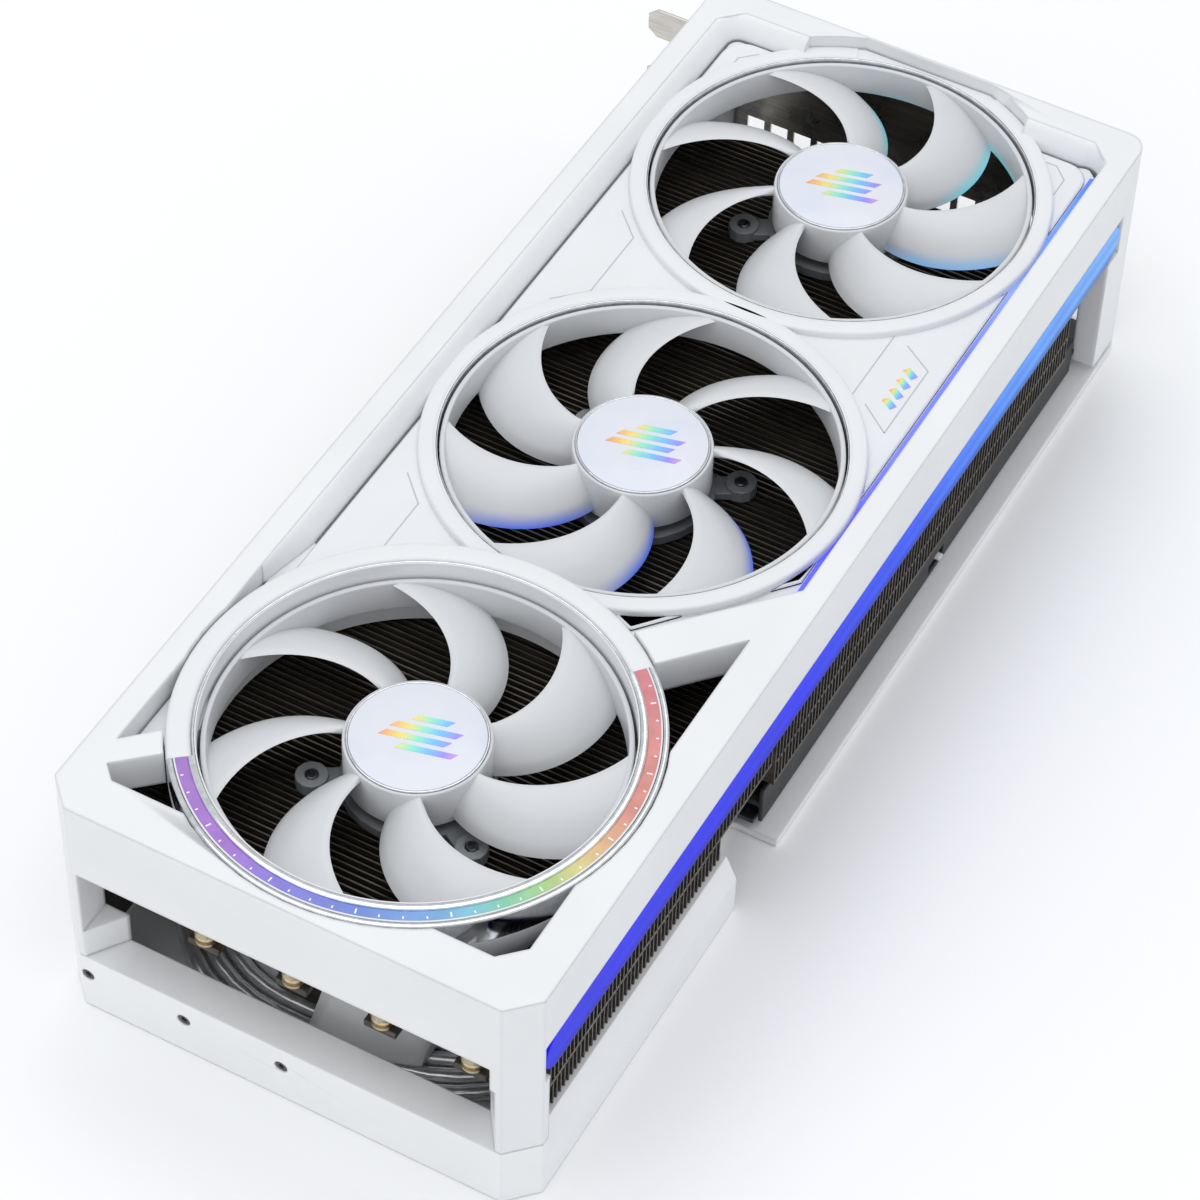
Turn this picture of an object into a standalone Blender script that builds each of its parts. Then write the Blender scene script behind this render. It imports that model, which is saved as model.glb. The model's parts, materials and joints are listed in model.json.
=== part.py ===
"""Triple-fan graphics card, lying on its backplate with the fans up.

X runs along the card (sockets at -X, tail at +X), +Y is the light bar side and +Z the fan side.
The origin is the middle of the casing's footprint, on the outer face of the backplate.
Sizes below are in millimetres.
"""
import math

import bmesh
import bpy
from mathutils import Matrix, Vector

MM = 0.001
GAP = 0.3
WELD = 0.000001
ROUND = 60

# Casing
LENGTH = 346.0
WIDTH = 134.0
HEIGHT = 77.0
HALF_L = LENGTH / 2
HALF_W = WIDTH / 2
CORNER = 7.4
FAR_RADIUS = 6.0
END_DEPTH = 10.0
RIM_Z = 66.0
WALL = 3.5
WALL_Z = 44.0
RIM_INNER_Y = 60.3
RIM_INNER_FAR_X = -164.5
OPEN_END_X = HALF_L - END_DEPTH - 2.7
WIDE_RAIL_Y = 56.4
INNER_CORNER = 6.0

# End window and tray
TRAY_TOP = 19.8
TRAY_LIP = 12.0
TRAY_X = 66.0
WINDOW_TOP = 52.2
WINDOW_Y = (-58.0, 56.5)
COLUMN_INSET = 7.0
FAR_COLUMN_X = -154.0
FAR_COLUMN_Z = 5.0
FLOOR = 2.4

# Front fans
FAN_X = (-117.3, -3.8, 109.7)
FAN_TURN = (1, -1, 1)
FAN_PHASE = (98.0, 112.6, 85.6)
FAN_BORE = 53.2
RING_OUTER = 52.4
RING_INNER = 51.0
RING_Z = (63.0, 72.4)
HUB_R = 18.4
HUB_Z = (61.0, 73.7)
HUB_WALL = 1.8
BADGE_R = 16.3
BADGE_DEEP = 1.3
BLADES = 7
BLADE_SWEEP = 30.0
BLADE_CHORD = 28.5
BLADE_Z = (62.6, 71.6)
BLADE_THICK = 1.5
MOTOR_Z = (55.3, 58.3)
MOTOR_R = 19.5
EAR_R = 26.0
EAR_BOSS = 4.2
SHAFT_R = 1.5

# Rear fan
REAR_X = 107.2
DUCT_X = (66.6, 147.6)
DUCT_INNER = 38.8
DUCT_Z = (FLOOR + GAP, 20.3)
REAR_RING = 38.0
APRON_X = 101.0
APRON_R = (46.0, 58.5)
APRON_Z = (8.0, 20.1)
APRON_Y = (-3.6, 26.0)
REAR_HUB_R = 15.5
REAR_HUB_Z = (3.4, 17.3)
REAR_BLADE_Z = (5.0, 16.0)
REAR_PHASE = 20.0

# Collar round the tail fan
COLLAR_R = 59.0
COLLAR_OUT = 60.7
COLLAR_LOW = 56.2
COLLAR_LOW_R = 57.2
COLLAR_TOP = 77.0
COLLAR_SEAT = 74.9
COLLAR_GAP_R = 61.1
LENS_R = (55.7, 58.6)
LENS_ARC = (-50.5, 138.5)
TRIM_IN_R = (FAN_BORE, 55.3)
TRIM_OUT_R = (COLLAR_R + GAP, COLLAR_OUT)
TRIM_DEEP = 8.0
ARM_1 = ((21.0, 63.0), (57.8, 29.5), (66.5, 37.3), (40.5, 60.5))
ARM_2 = ((138.8, -50.2), (151.5, -63.0), (159.0, -61.0), (145.6, -46.4))

# Fan plate
PLATE_Z = (66.3, 70.5)
PLATE_FAR_X = RIM_INNER_FAR_X + 0.6
PLATE_Y = (-RIM_INNER_Y + 0.6, 57.8)
PLATE_COLLAR_R = 57.6
PLATE_COLLAR_TOP = 73.3

# Lights
BAR_X = (-160.3, 164.7)
BAR_Y = (64.6, 66.8)
BAR_Z = (45.2, 57.7)
RAIL_LIGHT_X = (-157.0, 22.0)
RAIL_LIGHT_Y = (58.2, 60.0)
RAIL_LIGHT_Z = (70.0, 71.8)

# Cooler
FIN_PITCH = 4.0
FIN_THICK = 1.4
FIN_TOP = 55.0
FIN_HALF_W = 62.8
MAIN_FINS_X = (-141.0, 38.0)
MAIN_FINS_Z = 17.2
TAIL_FINS_X = (40.2, 155.0)
TAIL_FINS_Z = 27.4
FIN_BASE = 1.6
PIPE_R = 2.2
PIPE_LOW_Z = 14.7
PIPE_HIGH_Z = 24.9
PIPE_TAIL_Z = 5.2
PIPE_START_X = -128.0
PIPE_BEND = (115.0, 14.0)
PIPE_BEND_R = (45.2, 40.2, 35.2)
PIPE_PLATE_Y = (42.0, 35.0, 28.0)
STAY_Y = (-17.0, -4.0)
PLATE_COLD_X = (-75.0, 15.0)
PLATE_COLD_HALF_Y = 47.0
PLATE_COLD_Z = (9.2, 12.2)

# Circuit board
BOARD_Z = (5.0, 6.6)
BOARD_X = (-168.0, 64.0)
BOARD_HALF_Y = 60.0
EDGE_Y = -76.0
EDGE_X = (-130.0, -41.0)
EDGE_KEY_X = (-117.6, -115.7)
CONTACT_PITCH = 3.0
CONTACT_WIDE = 2.1
NOTCH_X = (43.0, 66.0)
NOTCH_Y = 54.0
PACKAGE_X = (-56.0, -4.0)
PACKAGE_HALF_Y = 26.0

# Slot bracket
SLOT_PITCH = 20.32
BRACKET_X = -173.6
BRACKET_THICK = 1.0
BRACKET_Z = (2.6, 61.0)
BRACKET_Y = (-70.0, 30.0)
TONGUE_Y = -90.0
TONGUE_HALF = 5.1
TAB_LENGTH = 10.0
SOCKET_Y = (-51.0, -33.0, -15.0, 3.0, 20.4)
SOCKET_WIDE = (16.6, 16.6, 15.0, 16.6, 15.0)
SOCKET_HIGH = 5.8
SOCKET_DEEP = 17.0
SOCKET_WALL = 0.7
VENT_SLOT = (-56.0, 5.4, 7.6)
VENT_Z = (21.0, 31.0)
VENT_COUNT = 11

# Mode switch
SWITCH_X = -62.0
SWITCH_TRAVEL = 2.0

# Screws
BRASS_Y = (-30.0, -5.0, 20.0, 45.0)
BRASS_X = 160.7
BRASS_Z = 31.8
TRAY_SCREW_Y = (-58.0, -30.0, -2.0)
TRAY_SCREW_Z = 12.5

PLANES = {
    "XY": Matrix.Identity(4),
    "XZ": Matrix.Rotation(math.pi / 2, 4, "X"),
    "YZ": Matrix(((0, 0, 1, 0), (1, 0, 0, 0), (0, 1, 0, 0), (0, 0, 0, 1))),
}


# ---------------------------------------------------------------- scene

def clear_scene():
    for obj in list(bpy.data.objects):
        bpy.data.objects.remove(obj)


def new_collection(name):
    group = bpy.data.collections.new(name)
    bpy.context.scene.collection.children.link(group)
    return group


clear_scene()
PARTS = new_collection("graphics_card")
CUTTERS = new_collection("graphics_card_cutters")


def make_material(name, color, roughness, metallic=0.0):
    material = bpy.data.materials.new(name)
    material.use_nodes = True
    shader = material.node_tree.nodes["Principled BSDF"]
    shader.inputs["Base Color"].default_value = (*color, 1.0)
    shader.inputs["Roughness"].default_value = roughness
    shader.inputs["Metallic"].default_value = metallic
    return material


WHITE = make_material("white_plastic", (0.84, 0.85, 0.86), 0.45)
BLADE = make_material("blade_plastic", (0.86, 0.87, 0.89), 0.4)
BADGE = make_material("badge_plastic", (0.85, 0.89, 0.97), 0.3)
BLACK = make_material("black_plastic", (0.02, 0.02, 0.022), 0.5)
GREY = make_material("grey_plastic", (0.25, 0.26, 0.27), 0.5)
FINS = make_material("dark_fins", (0.05, 0.045, 0.04), 0.4, 0.7)
NICKEL = make_material("nickel", (0.6, 0.6, 0.6), 0.25, 1.0)
CHROME = make_material("chrome", (0.8, 0.82, 0.84), 0.08, 1.0)
STEEL = make_material("bracket_steel", (0.62, 0.6, 0.56), 0.3, 1.0)
BRASS = make_material("brass", (0.72, 0.55, 0.28), 0.3, 1.0)
GOLD = make_material("gold_contacts", (0.85, 0.65, 0.25), 0.25, 1.0)
COPPER = make_material("copper_windings", (0.7, 0.35, 0.2), 0.4, 1.0)
BOARD = make_material("board_laminate", (0.015, 0.017, 0.02), 0.4)
BLUE_LIGHT = make_material("blue_lens", (0.1, 0.15, 0.95), 0.3)
RAINBOW = make_material("collar_lens", (0.45, 0.4, 0.9), 0.3)


# ---------------------------------------------------------------- outlines

def rect(x0, x1, y0, y1):
    return [(x0, y0), (x1, y0), (x1, y1), (x0, y1)]


def arc(cx, cy, radius, start, end, steps):
    points = []
    for i in range(steps + 1):
        angle = math.radians(start + (end - start) * i / steps)
        points.append((cx + radius * math.cos(angle), cy + radius * math.sin(angle)))
    return points


def circle(cx, cy, radius, steps=48):
    return arc(cx, cy, radius, 0.0, 360.0, steps)[:-1]


def clipped_circle(cx, radius, limit, steps=48):
    """Circle about (cx, 0) with its -X side cut off flat at limit."""
    half = 180.0 - math.degrees(math.acos((cx - limit) / radius))
    return arc(cx, 0.0, radius, -half, half, steps)


def ring_sector(cx, cy, inner, outer, start, end, steps):
    return arc(cx, cy, outer, start, end, steps) + arc(cx, cy, inner, end, start, steps)


def casing_outline(far_radius=FAR_RADIUS):
    x0 = -HALF_L + far_radius
    y0 = HALF_W - far_radius
    points = [(HALF_L - CORNER, -HALF_W), (HALF_L, -HALF_W + CORNER)]
    points += [(HALF_L, HALF_W - CORNER), (HALF_L - CORNER, HALF_W)]
    points += arc(x0, y0, far_radius, 90.0, 180.0, 5)
    points += arc(x0, -y0, far_radius, 180.0, 270.0, 5)
    return points


# ---------------------------------------------------------------- solids

def show_as_cutter(obj):
    obj.display_type = "WIRE"
    obj.hide_render = True


def add_object(name, mesh, matrix, material, cutter=False):
    obj = bpy.data.objects.new(name, mesh)
    obj.matrix_world = matrix
    if cutter:
        CUTTERS.objects.link(obj)
        show_as_cutter(obj)
    else:
        PARTS.objects.link(obj)
        mesh.materials.append(material)
    return obj


def mesh_from_curve(obj):
    bpy.context.view_layer.update()
    evaluated = obj.evaluated_get(bpy.context.evaluated_depsgraph_get())
    mesh = bpy.data.meshes.new_from_object(evaluated)
    shape = bmesh.new()
    shape.from_mesh(mesh)
    bmesh.ops.remove_doubles(shape, verts=shape.verts, dist=WELD)
    bmesh.ops.recalc_face_normals(shape, faces=shape.faces)
    shape.to_mesh(mesh)
    shape.free()
    mesh.materials.clear()
    bpy.data.objects.remove(obj)
    return mesh


def flat(name, loops, low, high, material=None, plane="XY"):
    """Flat outline with holes, extruded from low to high along the plane's normal."""
    curve = bpy.data.curves.new(name, "CURVE")
    curve.dimensions = "2D"
    curve.fill_mode = "BOTH"
    curve.extrude = (high - low) / 2 * MM
    for loop in loops:
        spline = curve.splines.new("POLY")
        spline.points.add(len(loop) - 1)
        spline.use_cyclic_u = True
        for point, (x, y) in zip(spline.points, loop):
            point.co = (x * MM, y * MM, 0.0, 1.0)
    holder = bpy.data.objects.new(name + "_outline", curve)
    bpy.context.scene.collection.objects.link(holder)
    mesh = mesh_from_curve(holder)
    middle = (low + high) / 2 * MM
    if plane == "XZ":
        middle = -middle
    matrix = PLANES[plane] @ Matrix.Translation((0.0, 0.0, middle))
    return add_object(name, mesh, matrix, material, cutter=material is None)


def box(name, low, high, material=None):
    mesh = bpy.data.meshes.new(name)
    shape = bmesh.new()
    size = [(b - a) * MM for a, b in zip(low, high)]
    bmesh.ops.create_cube(shape, size=1.0, matrix=Matrix.Diagonal((*size, 1.0)))
    shape.to_mesh(mesh)
    shape.free()
    centre = [(a + b) / 2 * MM for a, b in zip(low, high)]
    return add_object(name, mesh, Matrix.Translation(centre), material, cutter=material is None)


def turned(name, profile, centre, material=None, steps=48):
    """Closed ring or solid of revolution about a vertical axis through centre."""
    mesh = bpy.data.meshes.new(name)
    points = [(radius * MM, 0.0, z * MM) for radius, z in profile]
    closed = all(radius > 0.0 for radius, _ in profile)
    edges = [(i, i + 1) for i in range(len(points) - 1)]
    if closed:
        edges.append((len(points) - 1, 0))
    mesh.from_pydata(points, edges, [])
    matrix = Matrix.Translation([value * MM for value in centre])
    obj = add_object(name, mesh, matrix, material, cutter=material is None)
    screw = obj.modifiers.new("turn", "SCREW")
    screw.axis = "Z"
    screw.steps = steps
    screw.render_steps = steps
    screw.use_merge_vertices = True
    screw.merge_threshold = WELD
    screw.use_smooth_shade = True
    return obj


def disc_profile(radius, low, high):
    return [(0.0, high), (radius, high), (radius, low), (0.0, low)]


def ring_profile(inner, outer, low, high):
    return [(outer, high), (outer, low), (inner, low), (inner, high)]


def combine(obj, tool, operation):
    modifier = obj.modifiers.new(operation.lower() + "_" + tool.name, "BOOLEAN")
    modifier.operation = operation
    modifier.object = tool
    modifier.solver = "EXACT"


def cut(obj, *tools):
    for tool in tools:
        combine(obj, tool, "DIFFERENCE")


def join(obj, *tools):
    for tool in tools:
        combine(obj, tool, "UNION")


def repeat(obj, step, count):
    row = obj.modifiers.new("row", "ARRAY")
    row.use_relative_offset = False
    row.use_constant_offset = True
    row.constant_offset_displace = [value * MM for value in step]
    row.count = count


# ---------------------------------------------------------------- casing

def shroud_frame():
    far_x = RIM_INNER_FAR_X
    inner = [(far_x + INNER_CORNER, -RIM_INNER_Y), (OPEN_END_X - INNER_CORNER, -RIM_INNER_Y)]
    inner += [(OPEN_END_X, -RIM_INNER_Y + INNER_CORNER), (OPEN_END_X, WIDE_RAIL_Y - INNER_CORNER)]
    inner += [(OPEN_END_X - INNER_CORNER, WIDE_RAIL_Y), (36.0, WIDE_RAIL_Y), (30.0, RIM_INNER_Y)]
    inner += [(far_x + INNER_CORNER, RIM_INNER_Y), (far_x, RIM_INNER_Y - INNER_CORNER)]
    inner += [(far_x, -RIM_INNER_Y + INNER_CORNER)]
    frame = flat("shroud_frame", [casing_outline(), inner], RIM_Z, HEIGHT, WHITE)

    wall_inner = rect(-HALF_L + WALL, HALF_L - END_DEPTH, -HALF_W + WALL, HALF_W - WALL)
    walls = flat("frame_walls", [casing_outline(), wall_inner], WALL_Z, RIM_Z + 1.0)
    join(frame, walls)

    for side in (-1, 1):
        near = [(HALF_L, side * (HALF_W - CORNER)), (HALF_L - CORNER, side * HALF_W)]
        near += [(HALF_L - END_DEPTH, side * HALF_W)]
        near += [(HALF_L - END_DEPTH, side * (58.0 - COLUMN_INSET)), (HALF_L, side * 58.0)]
        column = flat(f"near_column_{side}", [near], TRAY_TOP + GAP, WALL_Z + 8.6)
        x0 = -HALF_L + FAR_RADIUS
        y0 = side * (HALF_W - FAR_RADIUS)
        far = arc(x0, y0, FAR_RADIUS, side * 90.0, side * 180.0, 5)
        far += [(-HALF_L, side * 60.0), (FAR_COLUMN_X, side * 60.0), (FAR_COLUMN_X, side * HALF_W)]
        far_column = flat(f"far_column_{side}", [far], FAR_COLUMN_Z, WALL_Z + 1.0)
        join(frame, column, far_column)

    for number, outline in enumerate((ARM_1, ARM_2)):
        join(frame, flat(f"frame_arm_{number}", [outline], RIM_Z, HEIGHT))

    window = box("window_cut", (HALF_L - END_DEPTH - 4.0, WINDOW_Y[0], 30.0),
                 (HALF_L + 2.0, WINDOW_Y[1], WINDOW_TOP))
    corner_keep = 9.0
    vent = box("vent_cut", (-HALF_L - 2.0, -HALF_W + corner_keep, 30.0),
               (-HALF_L + WALL + 2.0, HALF_W - corner_keep, 62.0))
    bar_low = box("bar_side_cut", (FAR_COLUMN_X + 0.01, 60.0, 30.0),
                  (BAR_X[1] - 2.0, HALF_W + 2.0, BAR_Z[1] + GAP))
    bar_slot = box("bar_slot_cut", (BAR_X[0] - GAP, BAR_Y[0] - 1.4, BAR_Z[0] - GAP),
                   (BAR_X[1] + GAP, HALF_W + 2.0, BAR_Z[1] + GAP))
    round_collar = circle(FAN_X[2], 0.0, COLLAR_GAP_R, ROUND)
    collar = flat("collar_cut", [round_collar], COLLAR_LOW - 0.5, HEIGHT + 4.0)
    far_round = clipped_circle(FAN_X[0], PLATE_COLLAR_R + 0.6, -HALF_L + 0.9)
    far_collar = flat("far_collar_cut", [far_round], PLATE_Z[0] - 3.6, HEIGHT + 4.0)
    cut(frame, window, vent, bar_low, bar_slot, collar, far_collar)
    return frame


def fan_plate():
    centre = FAN_X[2]
    reach = COLLAR_OUT + 0.5
    low_y, high_y = PLATE_Y
    outline = [(PLATE_FAR_X + INNER_CORNER, low_y), (centre - 4.0, low_y)]
    outline += arc(centre, 0.0, reach - 1.5, 264.0, 152.0, 12)
    outline += [(26.0, high_y), (PLATE_FAR_X + INNER_CORNER, high_y)]
    outline += [(PLATE_FAR_X, high_y - INNER_CORNER), (PLATE_FAR_X, low_y + INNER_CORNER)]
    plate = flat("fan_plate", [outline], *PLATE_Z, WHITE)
    discs = [clipped_circle(FAN_X[0], PLATE_COLLAR_R, -HALF_L + 1.5)]
    discs.append(circle(FAN_X[1], 0.0, PLATE_COLLAR_R, ROUND))
    for number, disc in enumerate(discs):
        join(plate, flat(f"plate_collar_{number + 1}", [disc], PLATE_Z[0] - 3.0, PLATE_COLLAR_TOP))
    cut(plate, flat("plate_tail_bore", [circle(centre, 0.0, reach, ROUND)], 50.0, 80.0))
    bore_profile = disc_profile(FAN_BORE, 55.0, 79.0)
    for number, x in enumerate(FAN_X[:2]):
        bore = turned(f"plate_bore_{number + 1}", bore_profile, (x, 0.0, 0.0), steps=ROUND + 4)
        cut(plate, bore)
    return plate


def tail_collar():
    x = FAN_X[2]
    centre = (x, 0.0, 0.0)
    profile = [(COLLAR_OUT, COLLAR_TOP), (COLLAR_OUT, RIM_Z), (COLLAR_LOW_R, COLLAR_LOW)]
    profile += [(FAN_BORE, COLLAR_LOW), (FAN_BORE, COLLAR_TOP)]
    collar = turned("tail_collar", profile, centre, WHITE, ROUND)
    flange = [(108.0, PLATE_Y[0]), (147.0, PLATE_Y[0]), (139.4, -51.6), (132.0, -48.0), (108.0, -57.0)]
    join(collar, flat("collar_flange", [flange], PLATE_Z[0] - 1.0, PLATE_Z[1]))
    above = COLLAR_TOP + 2.0
    seat_profile = ring_profile(FAN_BORE - 2.0, TRIM_IN_R[1] + GAP, COLLAR_SEAT, above)
    seat = turned("trim_seat_cut", seat_profile, centre, steps=ROUND)
    start, end = LENS_ARC
    groove = ring_sector(x, 0.0, TRIM_IN_R[1], LENS_R[1] - 0.1, start - 0.4, end + 0.4, 36)
    edge = ring_sector(x, 0.0, COLLAR_R, COLLAR_OUT + 2.0, start - 0.4, end + 0.4, 36)
    cut(collar, seat, flat("lens_groove_cut", [groove], COLLAR_SEAT, above))
    cut(collar, flat("trim_edge_cut", [edge], COLLAR_TOP - TRIM_DEEP - GAP, above))
    return collar


def collar_lights():
    centre = (FAN_X[2], 0.0, 0.0)
    lens = ring_sector(FAN_X[2], 0.0, LENS_R[0], LENS_R[1] - 0.4, *LENS_ARC, 36)
    flat("collar_light", [lens], COLLAR_SEAT + GAP, COLLAR_TOP, RAINBOW)
    trim_profile = ring_profile(*TRIM_IN_R, COLLAR_SEAT + GAP, COLLAR_TOP)
    turned("collar_trim_inner", trim_profile, centre, CHROME, ROUND)
    outer = ring_sector(FAN_X[2], 0.0, *TRIM_OUT_R, *LENS_ARC, 36)
    flat("collar_trim_outer", [outer], COLLAR_TOP - TRIM_DEEP, COLLAR_TOP, CHROME)


def side_lights():
    radius = (BAR_Z[1] - BAR_Z[0]) / 2
    middle = sum(BAR_Z) / 2
    outline = arc(BAR_X[1] - radius, middle, radius, -90.0, 90.0, 8)
    outline += arc(BAR_X[0] + radius, middle, radius, 90.0, 270.0, 8)
    flat("light_bar", [outline], *BAR_Y, BLUE_LIGHT, "XZ")
    box("light_bar_board", (BAR_X[0] + 4.0, BAR_Y[0] - 1.1, BAR_Z[0] + 2.0),
        (BAR_X[1] - 4.0, BAR_Y[0] - GAP, BAR_Z[1] - 2.0), BLACK)
    box("rail_light", (RAIL_LIGHT_X[0], RAIL_LIGHT_Y[0], RAIL_LIGHT_Z[0]),
        (RAIL_LIGHT_X[1], RAIL_LIGHT_Y[1], RAIL_LIGHT_Z[1]), BLUE_LIGHT)


def backplate():
    x1 = TRAY_X - GAP
    inset = FAR_RADIUS
    outline = [(x1, -HALF_W), (x1, NOTCH_Y), (NOTCH_X[0], NOTCH_Y), (NOTCH_X[0], HALF_W)]
    outline += arc(-HALF_L + inset, HALF_W - inset, inset, 90.0, 180.0, 5)
    outline += arc(-HALF_L + inset, -HALF_W + inset, inset, 180.0, 270.0, 5)
    flat("backplate", [outline], 0.0, FLOOR, WHITE)


def tail_tray():
    outline = [(TRAY_X, -HALF_W), (HALF_L - CORNER, -HALF_W), (HALF_L, -HALF_W + CORNER)]
    outline += [(HALF_L, HALF_W - CORNER), (HALF_L - CORNER, HALF_W), (TRAY_X, HALF_W)]
    tray = flat("tail_tray", [outline, circle(REAR_X, 0.0, DUCT_INNER, ROUND)], 0.0, FLOOR, WHITE)
    end = [(HALF_L - END_DEPTH, -HALF_W), (HALF_L - CORNER, -HALF_W), (HALF_L, -HALF_W + CORNER)]
    end += [(HALF_L, HALF_W - CORNER), (HALF_L - CORNER, HALF_W), (HALF_L - END_DEPTH, HALF_W)]
    join(tray, flat("tray_end", [end], FLOOR - 1.0, TRAY_TOP))
    for side in (-1, 1):
        lip = [(side * HALF_W, 0.5), (side * HALF_W, TRAY_LIP), (side * (HALF_W - 3.2), TRAY_TOP - 0.6)]
        lip += [(side * (HALF_W - 5.0), TRAY_TOP - 0.6), (side * (HALF_W - 2.4), TRAY_LIP - 1.0)]
        lip += [(side * (HALF_W - 2.4), 0.5)]
        join(tray, flat(f"tray_lip_{side}", [lip], TRAY_X, HALF_L - END_DEPTH + 1.0, plane="YZ"))
    for y in TRAY_SCREW_Y:
        outline = circle(y, TRAY_SCREW_Z, 1.9, 16)
        cut(tray, flat(f"tray_hole_{y:.0f}", [outline], HALF_L - 6.0, HALF_L + 2.0, plane="YZ"))
    return tray


# ---------------------------------------------------------------- fans

def blade_point(radius, share, fan, blade_index, lift):
    """Point of a blade: share runs 0 to 1 from its low edge to its high edge."""
    root, tip, turn = fan["root"], fan["tip"], fan["turn"]
    t = (radius - root) / (tip - root)
    high_edge = fan["phase"] + turn * BLADE_SWEEP * max(t, 0.0) ** 1.4
    angle = high_edge - turn * fan["chord"] * (1.0 - share) + blade_index * 360.0 / fan["count"]
    low, high = fan["z"]
    camber = fan["camber"] * math.sin(math.pi * share)
    z = low + (high - low) * share + fan["face"] * camber + lift
    angle = math.radians(angle)
    return Vector((radius * math.cos(angle), radius * math.sin(angle), z)) * MM


def blade_mesh(name, fan):
    """All the blades of one rotor: each is a loft of thin sections from the hub to the ring."""
    shape = bmesh.new()
    spans, chords = 4, 3
    for index in range(fan["count"]):
        skins = []
        for lift in (BLADE_THICK / 2, -BLADE_THICK / 2):
            skin = []
            for i in range(spans + 1):
                radius = fan["root"] + (fan["tip"] - fan["root"]) * i / spans
                skin.append([shape.verts.new(blade_point(radius, j / chords, fan, index, lift))
                             for j in range(chords + 1)])
            skins.append(skin)
        top, bottom = skins
        for i in range(spans):
            for j in range(chords):
                shape.faces.new((top[i][j], top[i + 1][j], top[i + 1][j + 1], top[i][j + 1]))
                shape.faces.new((bottom[i][j], bottom[i][j + 1], bottom[i + 1][j + 1], bottom[i + 1][j]))
        border = [(i, 0) for i in range(spans)] + [(spans, j) for j in range(chords)]
        border += [(i, chords) for i in range(spans, 0, -1)] + [(0, j) for j in range(chords, 0, -1)]
        for (a, b), (c, d) in zip(border, border[1:] + border[:1]):
            shape.faces.new((top[a][b], bottom[a][b], bottom[c][d], top[c][d]))
    bmesh.ops.recalc_face_normals(shape, faces=shape.faces)
    mesh = bpy.data.meshes.new(name)
    shape.to_mesh(mesh)
    shape.free()
    return mesh


def rotor(name, fan, place, hub, ring):
    body = turned(name, hub, place, BLADE, 36)
    matrix = Matrix.Translation([value * MM for value in place])
    blades = add_object(name + "_blades", blade_mesh(name, fan), matrix, None, cutter=True)
    outer = turned(name + "_ring", ring, place, steps=48)
    join(body, blades, outer)
    return body


def front_fan(number):
    x, turn = FAN_X[number], FAN_TURN[number]
    place = (x, 0.0, 0.0)
    name = f"fan_{number + 1}"
    low, high = HUB_Z
    floor = high - BADGE_DEEP
    under = floor - HUB_WALL
    hub = [(0.0, floor), (BADGE_R + 0.5, floor), (BADGE_R + 0.5, high), (HUB_R - 0.8, high)]
    hub += [(HUB_R, high - 0.8), (HUB_R, low), (HUB_R - HUB_WALL, low)]
    hub += [(HUB_R - HUB_WALL, under), (0.0, under)]
    ring = ring_profile(RING_INNER, RING_OUTER, *RING_Z)
    fan = {"root": HUB_R - 1.0, "tip": RING_INNER + 0.6, "turn": turn, "phase": FAN_PHASE[number],
           "chord": BLADE_CHORD, "z": BLADE_Z, "count": BLADES, "camber": 1.6, "face": 1}
    rotor(name + "_rotor", fan, place, hub, ring)
    turned(name + "_badge", disc_profile(BADGE_R, floor + GAP, high), place, BADGE, 36)
    turned(name + "_shaft", disc_profile(SHAFT_R, MOTOR_Z[0] + 1.5, under - GAP), place, STEEL, 12)
    stator_profile = ring_profile(4.2, 15.2, MOTOR_Z[1] + GAP, under - 1.4)
    turned(name + "_stator", stator_profile, place, COPPER, 24)
    motor_base(name, place, 120.0 if turn < 0 else -60.0)


def motor_base(name, place, first_angle):
    """Round base with a bearing tube and three eared arms that screw down on the fins."""
    low, high = MOTOR_Z
    profile = [(0.0, low + 1.0), (SHAFT_R + GAP, low + 1.0), (SHAFT_R + GAP, 67.0), (3.6, 67.0)]
    profile += [(3.6, high), (MOTOR_R, high), (MOTOR_R, low), (0.0, low)]
    base = turned(name + "_motor_base", profile, place, GREY, 24)
    for k in range(3):
        angle = math.radians(first_angle + k * 120.0)
        x = place[0] + EAR_R * math.cos(angle)
        y = EAR_R * math.sin(angle)
        side = (-math.sin(angle) * 3.2, math.cos(angle) * 3.2)
        start = (place[0] + 15.0 * math.cos(angle), 15.0 * math.sin(angle))
        arm = [(start[0] + side[0], start[1] + side[1]), (start[0] - side[0], start[1] - side[1])]
        arm += [(x - side[0], y - side[1]), (x + side[0], y + side[1])]
        join(base, flat(f"{name}_arm_{k}", [arm], low + 0.2, high - 0.4))
        join(base, flat(f"{name}_ear_{k}", [circle(x, y, EAR_BOSS, 12)], low, high + 0.8))
        cut(base, flat(f"{name}_ear_hole_{k}", [circle(x, y, 1.8, 8)], low - 1.0, high + 3.0))
    return base


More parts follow.
